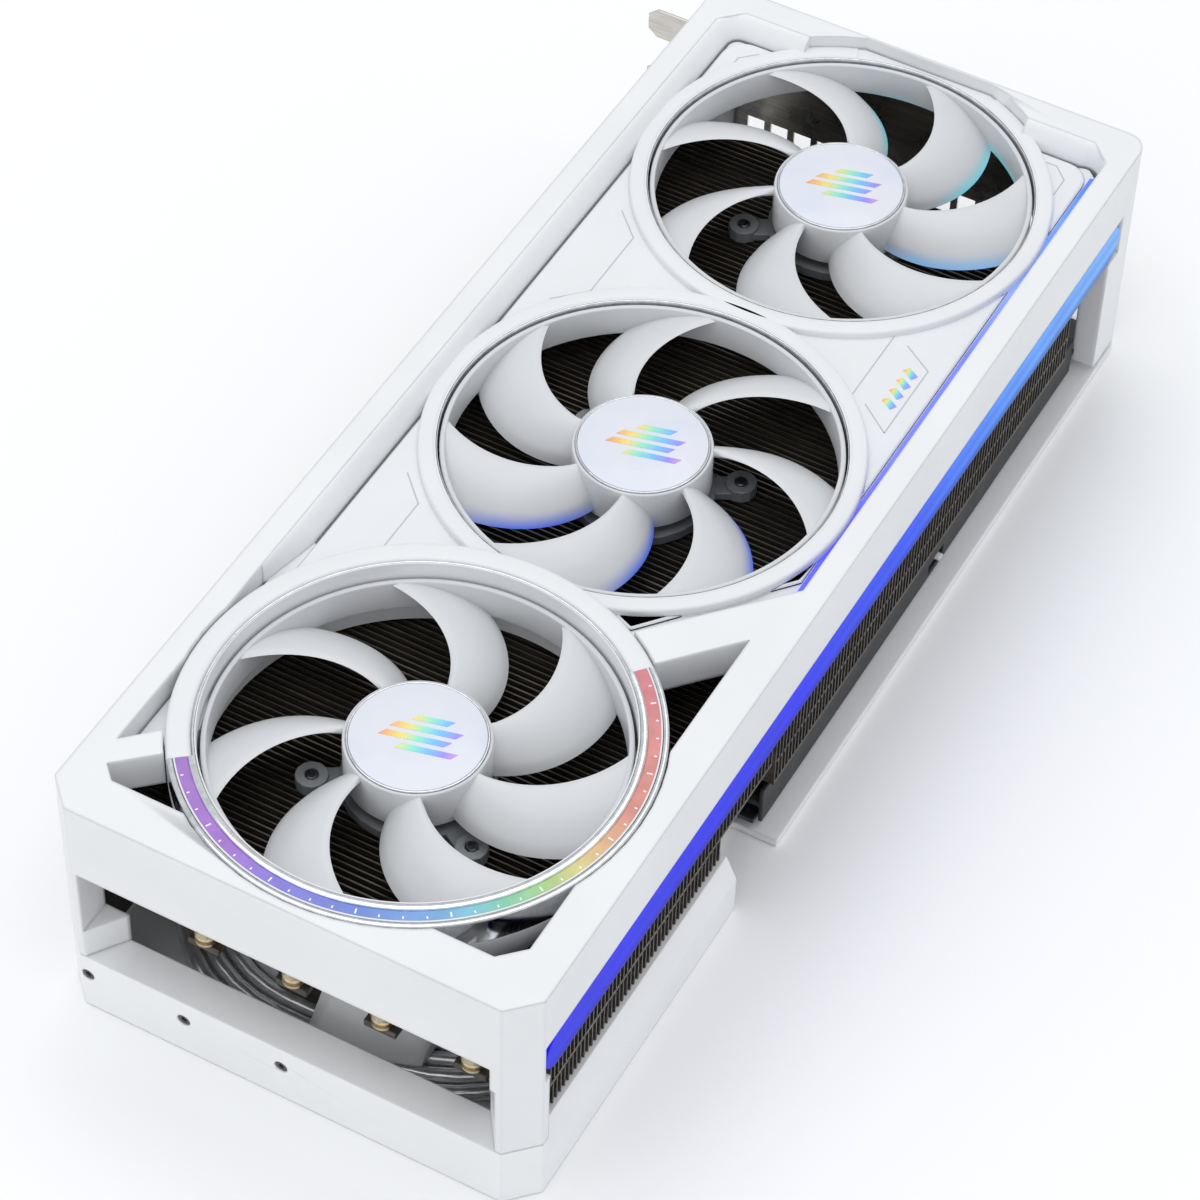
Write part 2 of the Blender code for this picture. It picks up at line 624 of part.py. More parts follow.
def rear_fan():
    place = (REAR_X, 0.0, 0.0)
    low, high = REAR_HUB_Z
    floor = low + BADGE_DEEP
    over = floor + HUB_WALL
    hub = [(0.0, over), (REAR_HUB_R - HUB_WALL, over), (REAR_HUB_R - HUB_WALL, high), (REAR_HUB_R, high)]
    hub += [(REAR_HUB_R, low), (13.5, low), (13.5, floor), (0.0, floor)]
    ring = ring_profile(REAR_RING - 1.3, REAR_RING, 5.0, 16.4)
    fan = {"root": REAR_HUB_R - 1.0, "tip": REAR_RING - 0.7, "turn": -1, "phase": REAR_PHASE,
           "chord": 26.0, "z": REAR_BLADE_Z, "count": 9, "camber": 1.4, "face": -1}
    rotor("rear_fan_rotor", fan, place, hub, ring)
    turned("rear_fan_badge", disc_profile(13.2, low, floor - GAP), place, BADGE, 32)
    turned("rear_fan_shaft", disc_profile(SHAFT_R, over + GAP, DUCT_Z[1] - 1.6), place, STEEL, 12)
    turned("rear_fan_stator", ring_profile(4.2, 12.6, over + 1.2, 17.2), place, COPPER, 24)
    rear_duct(place)


def rear_duct(place):
    low, high = DUCT_Z
    bend_x, bend_y = PIPE_BEND
    radius = DUCT_X[1] - bend_x
    outline = arc(bend_x, -bend_y, radius, -90.0, 0.0, 14) + arc(bend_x, bend_y, radius, 0.0, 90.0, 14)
    half = bend_y + radius
    outline += [(DUCT_X[0] + 14.0, half), (DUCT_X[0], half - 14.0)]
    outline += [(DUCT_X[0], 14.0 - half), (DUCT_X[0] + 14.0, -half)]
    bore = circle(REAR_X, 0.0, DUCT_INNER, ROUND)
    duct = flat("rear_fan_duct", [outline, bore], low, high, NICKEL)
    plate_low = high - 2.4
    hub = [(0.0, high - 0.1), (16.0, high - 0.1), (16.0, plate_low), (3.6, plate_low), (3.6, 10.0)]
    hub += [(SHAFT_R + GAP, 10.0), (SHAFT_R + GAP, high - 1.2), (0.0, high - 1.2)]
    join(duct, turned("rear_motor_plate", hub, place, steps=32))
    for k in range(4):
        angle = math.radians(45.0 + 90.0 * k)
        direction = Vector((math.cos(angle), math.sin(angle)))
        side = Vector((-direction.y, direction.x)) * 2.6
        centre = Vector(place[:2])
        inner = centre + direction * 14.0
        outer = centre + direction * (DUCT_INNER + 0.8)
        arm = [inner + side, inner - side, outer - side, outer + side]
        join(duct, flat(f"rear_arm_{k}", [[tuple(point) for point in arm]], plate_low + 0.2, high - 0.2))
    join(duct, duct_apron())
    return duct


def duct_apron():
    """Sloping cover from the top of the duct out over the pipes, in the middle of the end window."""
    inner, outer = APRON_R
    low, high = APRON_Z
    profile = [(inner, low), (outer, low), (outer, low + 0.8), (inner + 0.8, high), (inner, high)]
    apron = turned("duct_apron", profile, (APRON_X, 0.0, 0.0), steps=ROUND)
    kept = box("duct_apron_part", (APRON_X + 20.0, APRON_Y[0], low - 4.0), (HALF_L, APRON_Y[1], high + 4.0))
    combine(apron, kept, "INTERSECT")
    return apron


# ---------------------------------------------------------------- cooler

def comb_outline(x0, x1, low, top):
    """Side view of a fin stack: a thin base with evenly spaced upright fins."""
    count = int((x1 - x0 - FIN_THICK) / FIN_PITCH)
    pitch = (x1 - x0 - FIN_THICK) / count
    points = [(x1, low), (x1, top)]
    for i in range(count):
        left = x1 - FIN_THICK - i * pitch
        points += [(left, top), (left, low + FIN_BASE)]
        points += [(left + FIN_THICK - pitch, low + FIN_BASE), (left + FIN_THICK - pitch, top)]
    points += [(x0, top), (x0, low)]
    return points


def fin_stacks():
    outline = comb_outline(*MAIN_FINS_X, MAIN_FINS_Z, FIN_TOP)
    flat("fin_stack_main", [outline], -FIN_HALF_W, FIN_HALF_W, FINS, "XZ")
    outline = comb_outline(*TAIL_FINS_X, TAIL_FINS_Z, FIN_TOP)
    tail = flat("fin_stack_tail", [outline], -FIN_HALF_W, FIN_HALF_W, FINS, "XZ")
    for y in BRASS_Y:
        tab = box(f"fin_tab_{y:.0f}", (TAIL_FINS_X[1] - 1.0, y - 4.5, BRASS_Z - 2.6),
                  (HALF_L - END_DEPTH - 0.4, y + 4.5, BRASS_Z - GAP))
        join(tail, tab)
    stay_x = DUCT_X[1] + 1.2
    join(tail, box("fin_stay", (stay_x, STAY_Y[0], 8.4), (stay_x + 1.6, STAY_Y[1], TAIL_FINS_Z + 1.0)))
    return tail


def pipe(name, points):
    curve = bpy.data.curves.new(name, "CURVE")
    curve.dimensions = "3D"
    curve.bevel_depth = PIPE_R * MM
    curve.bevel_resolution = 2
    curve.use_fill_caps = True
    spline = curve.splines.new("POLY")
    spline.points.add(len(points) - 1)
    for point, place in zip(spline.points, points):
        point.co = (*[value * MM for value in place], 1.0)
    holder = bpy.data.objects.new(name + "_route", curve)
    bpy.context.scene.collection.objects.link(holder)
    mesh = mesh_from_curve(holder)
    return add_object(name, mesh, Matrix.Identity(4), NICKEL)


def heat_pipes():
    """Nested U-shaped pipes: along the cold plate, up to the tail fins and round the rear fan."""
    bend_x, bend_y = PIPE_BEND
    for number, (radius, plate_y) in enumerate(zip(PIPE_BEND_R, PIPE_PLATE_Y)):
        wide = bend_y + radius
        neck = wide - 3.4
        run = [(PIPE_START_X, plate_y, PIPE_LOW_Z), (-50.0, plate_y, PIPE_LOW_Z)]
        run += [(34.0, neck, PIPE_LOW_Z), (38.4, neck, PIPE_LOW_Z), (40.6, neck, PIPE_LOW_Z + 0.8)]
        run += [(50.0, neck, PIPE_HIGH_Z - 0.8), (53.0, neck, PIPE_HIGH_Z), (66.0, wide, PIPE_HIGH_Z)]
        run += [(70.0, wide, PIPE_HIGH_Z - 1.0), (84.0, wide, PIPE_TAIL_Z + 1.0), (88.0, wide, PIPE_TAIL_Z)]
        points = [(x, -y, z) for x, y, z in run]
        bend = arc(bend_x, -bend_y, radius, -90.0, 0.0, 9) + arc(bend_x, bend_y, radius, 0.0, 90.0, 9)
        points += [(x, y, PIPE_TAIL_Z) for x, y in bend]
        points += reversed(run)
        pipe(f"heat_pipe_{number + 1}", points)


def cold_plate():
    x0, x1 = PLATE_COLD_X
    half = PLATE_COLD_HALF_Y
    box("cold_plate", (x0, -half, PLATE_COLD_Z[0]), (x1, half, PLATE_COLD_Z[1]), NICKEL)


def mid_frame():
    """Black frame between the board and the fins, with a skirt along the light bar side."""
    x0, x1 = -156.0, 58.0
    outer = [(x0, -59.5), (x1, -59.5), (x1, 38.0), (NOTCH_X[0] - 2.0, 38.0), (NOTCH_X[0] - 2.0, 61.5)]
    outer += [(-152.0, 61.5), (-152.0, 59.5), (x0, 59.5)]
    half = PLATE_COLD_HALF_Y + 1.0
    cold = rect(PLATE_COLD_X[0] - 1.0, PLATE_COLD_X[1] + 1.0, -half, half)
    frame = flat("mid_frame", [outer, cold], 9.8, 11.6, BLACK)
    skirt = box("mid_skirt", (-150.0, 60.3, 4.4), (NOTCH_X[0] - 2.0, 61.5, MAIN_FINS_Z - 0.5))
    slot = box("switch_slot", (SWITCH_X - 4.5, 58.0, 6.0), (SWITCH_X + 4.5, 64.0, 9.7))
    join(frame, skirt)
    cut(frame, slot)
    return frame


# ---------------------------------------------------------------- electronics

def circuit_board():
    x0, x1 = BOARD_X
    y = BOARD_HALF_Y
    e0, e1 = EDGE_X
    k0, k1 = EDGE_KEY_X
    notch_y = NOTCH_Y - 0.5
    outline = [(x0, -y), (x1, -y), (x1, notch_y), (NOTCH_X[0], notch_y), (NOTCH_X[0], y), (x0, y)]
    board = flat("circuit_board", [outline], *BOARD_Z, BOARD)
    edge = [(e0, -y + 2.0), (e0, EDGE_Y + 1.0), (e0 + 1.0, EDGE_Y), (k0, EDGE_Y), (k0, EDGE_Y + 7.6)]
    edge += [(k1, EDGE_Y + 7.6), (k1, EDGE_Y), (e1 - 1.0, EDGE_Y), (e1, EDGE_Y + 1.0), (e1, -y + 2.0)]
    join(board, flat("edge_tongue", [edge], *BOARD_Z))
    top = BOARD_Z[1]
    for side in (-1, 1):
        for k in range(5):
            x = -66.0 + k * 18.0
            y0 = side * 38.0
            chip = box(f"memory_{side}_{k}", (x, y0 - 6.0, top - 0.5), (x + 14.0, y0 + 6.0, top + 1.2))
            join(board, chip)
    for k in range(8):
        x = -140.0 + (k % 2) * 12.0
        y0 = -42.0 + (k // 2) * 24.0
        join(board, box(f"choke_{k}", (x, y0 - 4.0, top - 0.5), (x + 8.0, y0 + 4.0, top + 2.6)))
    return board


def edge_contacts():
    """Gold fingers on the fan side of the edge connector, joined by their plating bar."""
    low = BOARD_Z[1] + 0.1
    high = low + 0.2
    x0, x1 = EDGE_X[0] + 2.0, EDGE_X[1] - 2.0
    contacts = box("edge_contacts", (x0, EDGE_Y + 8.0, low), (x1, EDGE_Y + 8.8, high), GOLD)
    finger = box("contact_finger", (x0, EDGE_Y + 0.6, low), (x0 + CONTACT_WIDE, EDGE_Y + 8.4, high))
    count = int((x1 - x0 - CONTACT_WIDE) / CONTACT_PITCH) + 1
    repeat(finger, (CONTACT_PITCH, 0.0, 0.0), count)
    key = box("contact_key_cut", (EDGE_KEY_X[0] - 0.5, EDGE_Y - 1.0, 0.0),
              (EDGE_KEY_X[1] + 0.5, EDGE_Y + 7.8, 10.0))
    join(contacts, finger)
    cut(contacts, key)
    return contacts


def gpu_package():
    x0, x1 = PACKAGE_X
    half = PACKAGE_HALF_Y
    package = box("processor_package", (x0, -half, BOARD_Z[1] + GAP), (x1, half, 7.9), GREY)
    die = box("processor_die", (x0 + 10.0, -15.0, 7.5), (x1 - 10.0, 15.0, PLATE_COLD_Z[0] - GAP))
    join(package, die)
    return package


def power_socket():
    """Socket for the twelve-pin supply plug, opening towards +Y in the casing's notch."""
    low = BOARD_Z[1] + GAP
    middle = sum(NOTCH_X) / 2
    front = NOTCH_Y - 1.0
    socket = box("power_socket", (middle - 10.0, 39.0, low), (middle + 10.0, front, low + 8.4), BLACK)
    for row in (0, 1):
        for k in range(6):
            x = middle - 7.5 + k * 3.0
            z = low + 2.3 + row * 3.2
            hole = box(f"pin_cavity_{row}_{k}", (x - 1.15, 43.0, z - 1.1), (x + 1.15, NOTCH_Y, z + 1.1))
            cut(socket, hole)
    return socket


def mode_switch():
    low = BOARD_Z[1] + GAP
    x = SWITCH_X
    body = box("mode_switch_body", (x - 4.0, 55.0, low), (x + 4.0, 59.8, low + 2.6), BLACK)
    slot = box("mode_switch_track", (x - 2.6, 57.0, low + 0.6), (x + 2.6, 61.0, low + 2.0))
    cut(body, slot)
    start = SWITCH_X - SWITCH_TRAVEL / 2
    box("mode_switch_lever", (start - 1.2, 57.4, low + 0.9), (start + 1.2, 62.6, low + 1.7), WHITE)
    return body


# ---------------------------------------------------------------- bracket and sockets

def io_bracket():
    x0 = BRACKET_X - BRACKET_THICK
    x1 = BRACKET_X
    y0, y1 = BRACKET_Y
    z0, z1 = BRACKET_Z
    bracket = box("io_bracket", (x0, y0, z0), (x1, y1, z1), STEEL)
    low = BOARD_Z[1]
    high = low + SOCKET_HIGH + 2 * GAP
    for k, (y, wide) in enumerate(zip(SOCKET_Y, SOCKET_WIDE)):
        half = wide / 2 + GAP
        cut(bracket, box(f"socket_cut_{k}", (x0 - 1.0, y - half, low), (x1 + 1.0, y + half, high)))
    first, wide, pitch = VENT_SLOT
    vents = box("bracket_vent_cut", (x0 - 1.0, first, VENT_Z[0]), (x1 + 1.0, first + wide, VENT_Z[1]))
    repeat(vents, (0.0, pitch, 0.0), VENT_COUNT)
    cut(bracket, vents)
    for k in range(3):
        z = z0 + 9.2 + k * SLOT_PITCH
        half = TONGUE_HALF
        tongue = [(y0 + 1.0, z - half), (TONGUE_Y + 3.0, z - half), (TONGUE_Y, z - half + 2.5)]
        tongue += [(TONGUE_Y, z + half - 2.5), (TONGUE_Y + 3.0, z + half), (y0 + 1.0, z + half)]
        join(bracket, flat(f"tongue_{k}", [tongue], x0 + 0.1, x1 - 0.1, plane="YZ"))
    outer = x0 - TAB_LENGTH
    join(bracket, box("fixing_tab", (outer, y1 - 1.1, z0 + 0.5), (x1 - 0.3, y1 - 0.1, z1 - 0.5)))
    for k in range(3):
        z = z1 - 9.2 - k * SLOT_PITCH
        slot = [(outer - 1.0, z + 2.2)] + arc(outer + 4.4, z, 2.2, 90.0, -90.0, 6)
        slot.append((outer - 1.0, z - 2.2))
        cut(bracket, flat(f"tab_slot_{k}", [slot], y1 - 3.0, y1 + 2.0, plane="XZ"))
    return bracket


def video_sockets():
    low = BOARD_Z[1] + GAP
    for number, (y, wide) in enumerate(zip(SOCKET_Y, SOCKET_WIDE)):
        x0 = BRACKET_X - BRACKET_THICK - 0.4
        x1 = x0 + SOCKET_DEEP
        half = wide / 2
        name = f"video_socket_{number + 1}"
        shell = box(name, (x0, y - half, low), (x1, y + half, low + SOCKET_HIGH), NICKEL)
        inside = box(name + "_hollow", (x0 - 1.0, y - half + SOCKET_WALL, low + SOCKET_WALL),
                     (x1 - 4.0, y + half - SOCKET_WALL, low + SOCKET_HIGH - SOCKET_WALL))
        tongue = box(name + "_tongue", (x0 + 2.0, y - half + 3.0, low + 2.2),
                     (x1 - 3.0, y + half - 3.0, low + 3.6))
        cut(shell, inside)
        join(shell, tongue)


# ---------------------------------------------------------------- fasteners

def brass_screws():
    for number, y in enumerate(BRASS_Y):
        profile = [(0.0, BRASS_Z + 2.0), (1.5, BRASS_Z + 2.0), (1.5, BRASS_Z + 3.6), (2.6, BRASS_Z + 3.6)]
        profile += [(3.0, BRASS_Z + 3.2), (3.0, BRASS_Z), (0.0, BRASS_Z)]
        turned(f"brass_screw_{number + 1}", profile, (BRASS_X, y, 0.0), BRASS, 12)


def tray_screws():
    for number, y in enumerate(TRAY_SCREW_Y):
        name = f"tray_screw_{number + 1}"
        screw = flat(name, [circle(y, TRAY_SCREW_Z, 1.6, 16)], HALF_L - 5.4, HALF_L - 0.2, BLACK, "YZ")
        drive = circle(y, TRAY_SCREW_Z, 0.8, 6)
        cut(screw, flat(name + "_drive", [drive], HALF_L - 1.0, HALF_L + 1.0, plane="YZ"))


# ---------------------------------------------------------------- assembly

shroud_frame()
fan_plate()
tail_collar()
collar_lights()
side_lights()
backplate()
tail_tray()
for fan_number in range(len(FAN_X)):
    front_fan(fan_number)
rear_fan()
fin_stacks()
heat_pipes()
cold_plate()
mid_frame()
circuit_board()
edge_contacts()
gpu_package()
power_socket()
mode_switch()
io_bracket()
video_sockets()
brass_screws()
tray_screws()
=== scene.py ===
import json
import math
import random

import bmesh
import bpy
from mathutils import Euler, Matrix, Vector


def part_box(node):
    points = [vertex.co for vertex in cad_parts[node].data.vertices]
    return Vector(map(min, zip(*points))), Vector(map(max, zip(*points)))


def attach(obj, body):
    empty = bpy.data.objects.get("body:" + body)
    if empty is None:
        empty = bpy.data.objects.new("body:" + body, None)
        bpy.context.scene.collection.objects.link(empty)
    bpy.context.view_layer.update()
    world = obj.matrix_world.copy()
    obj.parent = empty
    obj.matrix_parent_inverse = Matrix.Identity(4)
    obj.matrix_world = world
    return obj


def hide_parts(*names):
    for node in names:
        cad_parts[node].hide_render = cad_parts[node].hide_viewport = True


# Looks of a white triple-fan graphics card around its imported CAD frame.
# X runs along the card (tail at +X), +Y is the light bar side, +Z the fan side. Sizes are in millimetres.

MM = 0.001
WELD = 0.000002
CARD = "card"
X, Y, Z = range(3)

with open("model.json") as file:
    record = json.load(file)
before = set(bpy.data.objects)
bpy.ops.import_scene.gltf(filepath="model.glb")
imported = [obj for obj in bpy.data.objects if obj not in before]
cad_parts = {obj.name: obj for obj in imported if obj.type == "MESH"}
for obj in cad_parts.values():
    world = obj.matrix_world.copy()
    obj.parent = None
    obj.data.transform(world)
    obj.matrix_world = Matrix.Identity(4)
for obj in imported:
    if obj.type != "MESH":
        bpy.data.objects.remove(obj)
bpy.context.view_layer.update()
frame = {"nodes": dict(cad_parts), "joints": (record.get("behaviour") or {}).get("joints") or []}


def span(node, axis):
    """The two ends of a CAD node along an axis."""
    return tuple(round(corner[axis] / MM, 2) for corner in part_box(node))


def joint_x(name):
    """Where a joint's axis stands along the card."""
    joint = next(item for item in frame["joints"] if item["name"] == name)
    return round(joint["pos_m"][X] / MM, 2)


# Front fans: their axes, which way they turn, and the shape of their blades.
FAN_X = tuple(joint_x(f"fan_{k}_spin") for k in (1, 2, 3))
FAN_TURN = (1, -1, 1)
FAN_PHASE = (98.0, 112.6, 85.6)
BLADES = 7
BLADE_SWEEP = 30.0
BLADE_CHORD = 28.5
BLADE_Z = (62.7, 71.5)
HUB_TURN = 104.0
TAIL_X = FAN_X[2]
REAR_X = joint_x("rear_fan_spin")
REAR_BLADE_Z = (5.0, 16.0)

# The tail fan's collar: where the lens starts and ends, and the heights of its top and of the lens seat.
LENS_ARC = (-50.5, 138.5)
COLLAR_TOP = span("tail_collar", Z)[1]
LENS_SEAT = 75.0

# Raised pads of the fan plate, with how near they come to the collars and to the rims on the two sides.
PLATE_TOP = 70.4
PAD_Z = (70.3, 71.5)
PAD_REACH = 57.4
PAD_TAIL_REACH = 61.7
PAD_EDGE_HIGH = 56.6
PAD_EDGE_LOW = 55.3
PAD_FAR_X = -159.5
PAD_CORNER = 7.0

# Rounded inner side of the rims: where the rims' inner faces stand, their corner radius and the slope's size.
RIM_Y = 60.3
RIM_X = -164.5
RIM_BEND = 8.0
SLOPE_Z = (70.45, 76.9)
SLOPE_WIDTH = 4.3
SLOPE_THIN = 0.3
GAP_OFFSET = 0.35

# Lights: the stretch that the side bar's colours run over, its height, where its lit face starts, and the
# two ends of the rail's light guide.
BAR_HUE_X = (-165.0, 165.0)
BAR_Z = span("light_bar", Z)
BAR_FACE_Y = span("light_bar", Y)[1] - 0.8
RAIL_LIGHT_X = span("rail_light", X)

# Cooler: the sheet fins of both stacks, the low fins under the tail, and the brass screws' places.
FIN_PITCH = 1.9
FIN_THICK = 0.45
FIN_HALF = span("fin_stack_main", Y)[1]
FIN_LOW, FIN_TOP = span("fin_stack_main", Z)
TAIL_FIN_X = (span("fin_stack_tail", X)[0], 155.0)
TAIL_FIN_LOW = 27.4
FOLD_HEIGHT = 1.2
SKIRT_X = (68.0, 161.0)
SKIRT_TOP = 27.6
SCREW_X = sum(span("brass_screw_1", X)) / 2
SCREW_Y = tuple(sum(span(f"brass_screw_{k}", Y)) / 2 for k in (1, 2, 3, 4))
SCREW_FOOT = span("brass_screw_1", Z)[0]

# Flat panels keep a crisp shade, round ones a smooth one.
FLAT_ANGLE = 12.0
ROUND_ANGLE = 35.0
RING_ANGLE = 28.0

# Colours of the lit parts and the foil as stops along each: the bar and the rail's guide from the bracket to
# the tail, the collar by angle, and the bar's brightness from its lower edge to its upper one.
BAR_PROFILE = [(0.0, (0.3, 0.3, 0.3)), (0.16, (0.5, 0.5, 0.5)), (0.38, (1.0, 1.0, 1.0)),
               (0.58, (0.74, 0.74, 0.74)), (0.84, (1.0, 1.0, 1.0)), (1.0, (0.7, 0.7, 0.7))]
BAR_HUES = [(0.0, (0.17, 0.45, 0.84)), (0.2, (0.09, 0.33, 0.88)), (0.42, (0.01, 0.08, 0.85)),
            (0.6, (0.0, 0.01, 0.78)), (1.0, (0.0, 0.0, 0.72))]
RAIL_HUES = [(0.0, (0.02, 0.14, 0.55)), (0.1, (0.08, 0.26, 0.72)), (0.3, (0.22, 0.34, 0.68)),
             (0.45, (0.14, 0.2, 0.62)), (0.7, (0.14, 0.16, 0.66)), (0.85, (0.08, 0.08, 0.7)),
             (1.0, (0.05, 0.05, 0.72))]
COLLAR_HUES = [(0.0, (0.41, 0.21, 0.63)), (0.16, (0.4, 0.2, 0.67)), (0.24, (0.28, 0.23, 0.77)),
               (0.36, (0.18, 0.28, 0.74)), (0.45, (0.22, 0.44, 0.8)), (0.5, (0.24, 0.58, 0.7)),
               (0.54, (0.24, 0.62, 0.42)), (0.59, (0.38, 0.66, 0.28)), (0.64, (0.7, 0.68, 0.28)),
               (0.69, (0.8, 0.5, 0.28)), (0.75, (0.75, 0.33, 0.27)), (1.0, (0.69, 0.24, 0.28))]
FOIL_HUES = [(0.0, (0.9, 0.35, 0.2)), (0.25, (0.95, 0.75, 0.2)), (0.45, (0.3, 0.85, 0.6)),
             (0.65, (0.2, 0.55, 0.95)), (0.85, (0.35, 0.3, 0.9)), (1.0, (0.7, 0.35, 0.85))]

# Spots where LED light is painted onto the blades of the first two fans as (x, y, reach), and the painted
# glow's colour at two places along X for each; no lamps stand there.
SKY_GLOW = (0.08, 0.45, 0.54)
PALE_GLOW = (0.14, 0.36, 0.66)
BLUE_GLOW = (0.03, 0.1, 0.6)
FAN_GLOW_SPOTS = (((-155.3, -4.9, 16.0), (-150.2, 29.2, 20.0), (-114.0, 35.0, 24.0)),
             ((30.0, -13.0, 24.0), (21.0, 18.0, 22.0), (7.0, 38.0, 24.0)),
             ())
FAN_GLOWS = (((-146.0, SKY_GLOW), (-120.0, PALE_GLOW)), ((0.0, BLUE_GLOW), (1.0, BLUE_GLOW)), ())

# Camera place in metres, its turn in degrees and its lens in millimetres.
CAMERA_PLACE = (0.65584, 0.33430, 0.83559)
CAMERA_TURN = (41.9235, -1.1935, 118.9623)
CAMERA_LENS = 123.75


# ---------------------------------------------------------------- node helpers

def new_material(name):
    """Empty node material with its tree and its shader."""
    material = bpy.data.materials.new(name)
    material.use_nodes = True
    tree = material.node_tree
    return material, tree, tree.nodes["Principled BSDF"]


def add_node(tree, kind, **inputs):
    node = tree.nodes.new(kind)
    for name, value in inputs.items():
        node.inputs[name.replace("_", " ")].default_value = value
    return node


def object_coords(tree, stretch=(1.0, 1.0, 1.0)):
    """Object coordinate, scaled along each axis."""
    coords = tree.nodes.new("ShaderNodeTexCoord")
    mapping = tree.nodes.new("ShaderNodeMapping")
    mapping.inputs["Scale"].default_value = stretch
    tree.links.new(coords.outputs["Object"], mapping.inputs["Vector"])
    return mapping.outputs["Vector"]


def noise(tree, vector, scale, detail=3.0, rough=0.55):
    """Noise value over a coordinate."""
    node = add_node(tree, "ShaderNodeTexNoise", Scale=scale, Detail=detail, Roughness=rough)
    tree.links.new(vector, node.inputs["Vector"])
    return node.outputs["Fac"]


def ramp(tree, factor, stops):
    """Colour read from a value through stops of (place, colour)."""
    node = tree.nodes.new("ShaderNodeValToRGB")
    elements = node.color_ramp.elements
    while len(elements) < len(stops):
        elements.new(0.5)
    for element, (place, color) in zip(elements, stops):
        element.position = place
        element.color = (*color, 1.0)
    tree.links.new(factor, node.inputs["Fac"])
    return node.outputs["Color"]


def remap(tree, value, low, high, new_low, new_high):
    """Value carried from one range to another and held within it."""
    node = tree.nodes.new("ShaderNodeMapRange")
    node.inputs["From Min"].default_value = low
    node.inputs["From Max"].default_value = high
    node.inputs["To Min"].default_value = new_low
    node.inputs["To Max"].default_value = new_high
    tree.links.new(value, node.inputs["Value"])
    return node.outputs["Result"]


def object_axes(tree):
    """The object coordinate split into its X, Y and Z."""
    coords = tree.nodes.new("ShaderNodeTexCoord")
    split = tree.nodes.new("ShaderNodeSeparateXYZ")
    tree.links.new(coords.outputs["Object"], split.inputs["Vector"])
    return split.outputs


def math_node(tree, operation, *values):
    """Result of a math operation on values or numbers."""
    node = tree.nodes.new("ShaderNodeMath")
    node.operation = operation
    for socket, value in zip(node.inputs, values):
        if isinstance(value, (int, float)):
            socket.default_value = value
        else:
            tree.links.new(value, socket)
    return node.outputs["Value"]


def add_bump(tree, shader, height, strength, depth):
    """Relief from a height value, its depth in millimetres."""
    bump = add_node(tree, "ShaderNodeBump", Strength=strength, Distance=depth * MM)
    tree.links.new(height, bump.inputs["Height"])
    tree.links.new(bump.outputs["Normal"], shader.inputs["Normal"])
    return bump


def round_edges(tree, bump, radius):
    """Edges that catch light as if rounded to a radius in millimetres."""
    rounding = add_node(tree, "ShaderNodeBevel", Radius=radius * MM)
    rounding.samples = 8
    tree.links.new(rounding.outputs["Normal"], bump.inputs["Normal"])


def tinted(color, factor):
    """Colour made lighter or darker, no channel past 1."""
    return tuple(min(1.0, value * factor) for value in color)


# ---------------------------------------------------------------- materials

def moulded(name, color, roughness, grain=2600.0, grain_depth=0.02, coat=0.0, edge=0.0):
    """Moulded or painted surface: fine grain, faint cloudy shade, uneven gloss and softly rounded edges."""
    material, tree, shader = new_material(name)
    vector = object_coords(tree)
    cloud = noise(tree, vector, 28.0, 4.0)
    stops = [(0.35, tinted(color, 0.975)), (0.65, tinted(color, 1.012))]
    tree.links.new(ramp(tree, cloud, stops), shader.inputs["Base Color"])
    smear = noise(tree, object_coords(tree, (1.0, 0.35, 1.0)), 130.0, 5.0, 0.65)
    rough = remap(tree, smear, 0.3, 0.7, roughness - 0.05, roughness + 0.06)
    tree.links.new(rough, shader.inputs["Roughness"])
    bump = add_bump(tree, shader, noise(tree, vector, grain, 2.0), 0.35, grain_depth)
    if edge:
        round_edges(tree, bump, edge)
    shader.inputs["Coat Weight"].default_value = coat
    shader.inputs["Coat Roughness"].default_value = 0.12
    return material


def metal(name, color, roughness, stretch=(1.0, 1.0, 1.0), grain=900.0, depth=0.01, metallic=1.0):
    """Bare or plated metal with directional grain and uneven polish."""
    material, tree, shader = new_material(name)
    shader.inputs["Metallic"].default_value = metallic
    vector = object_coords(tree, stretch)
    lines = noise(tree, vector, grain, 4.0, 0.6)
    stops = [(0.3, tinted(color, 0.82)), (0.7, tinted(color, 1.1))]
    tree.links.new(ramp(tree, lines, stops), shader.inputs["Base Color"])
    patch = noise(tree, object_coords(tree), 60.0, 4.0)
    rough = remap(tree, patch, 0.3, 0.7, max(0.03, roughness - 0.06), roughness + 0.08)
    tree.links.new(rough, shader.inputs["Roughness"])
    add_bump(tree, shader, lines, 0.3, depth)
    return material


def fin_metal():
    """Dark coated fins: brushed along their length with warm brown patches."""
    material, tree, shader = new_material("dark_fins")
    shader.inputs["Metallic"].default_value = 0.45
    vector = object_coords(tree, (1.0, 0.12, 1.0))
    brushed = noise(tree, vector, 700.0, 4.0)
    stops = [(0.3, (0.05, 0.044, 0.037)), (0.55, (0.085, 0.074, 0.06)), (0.75, (0.16, 0.13, 0.1))]
    tree.links.new(ramp(tree, brushed, stops), shader.inputs["Base Color"])
    rough = remap(tree, noise(tree, vector, 90.0), 0.3, 0.7, 0.3, 0.48)
    tree.links.new(rough, shader.inputs["Roughness"])
    add_bump(tree, shader, brushed, 0.3, 0.02)
    return material


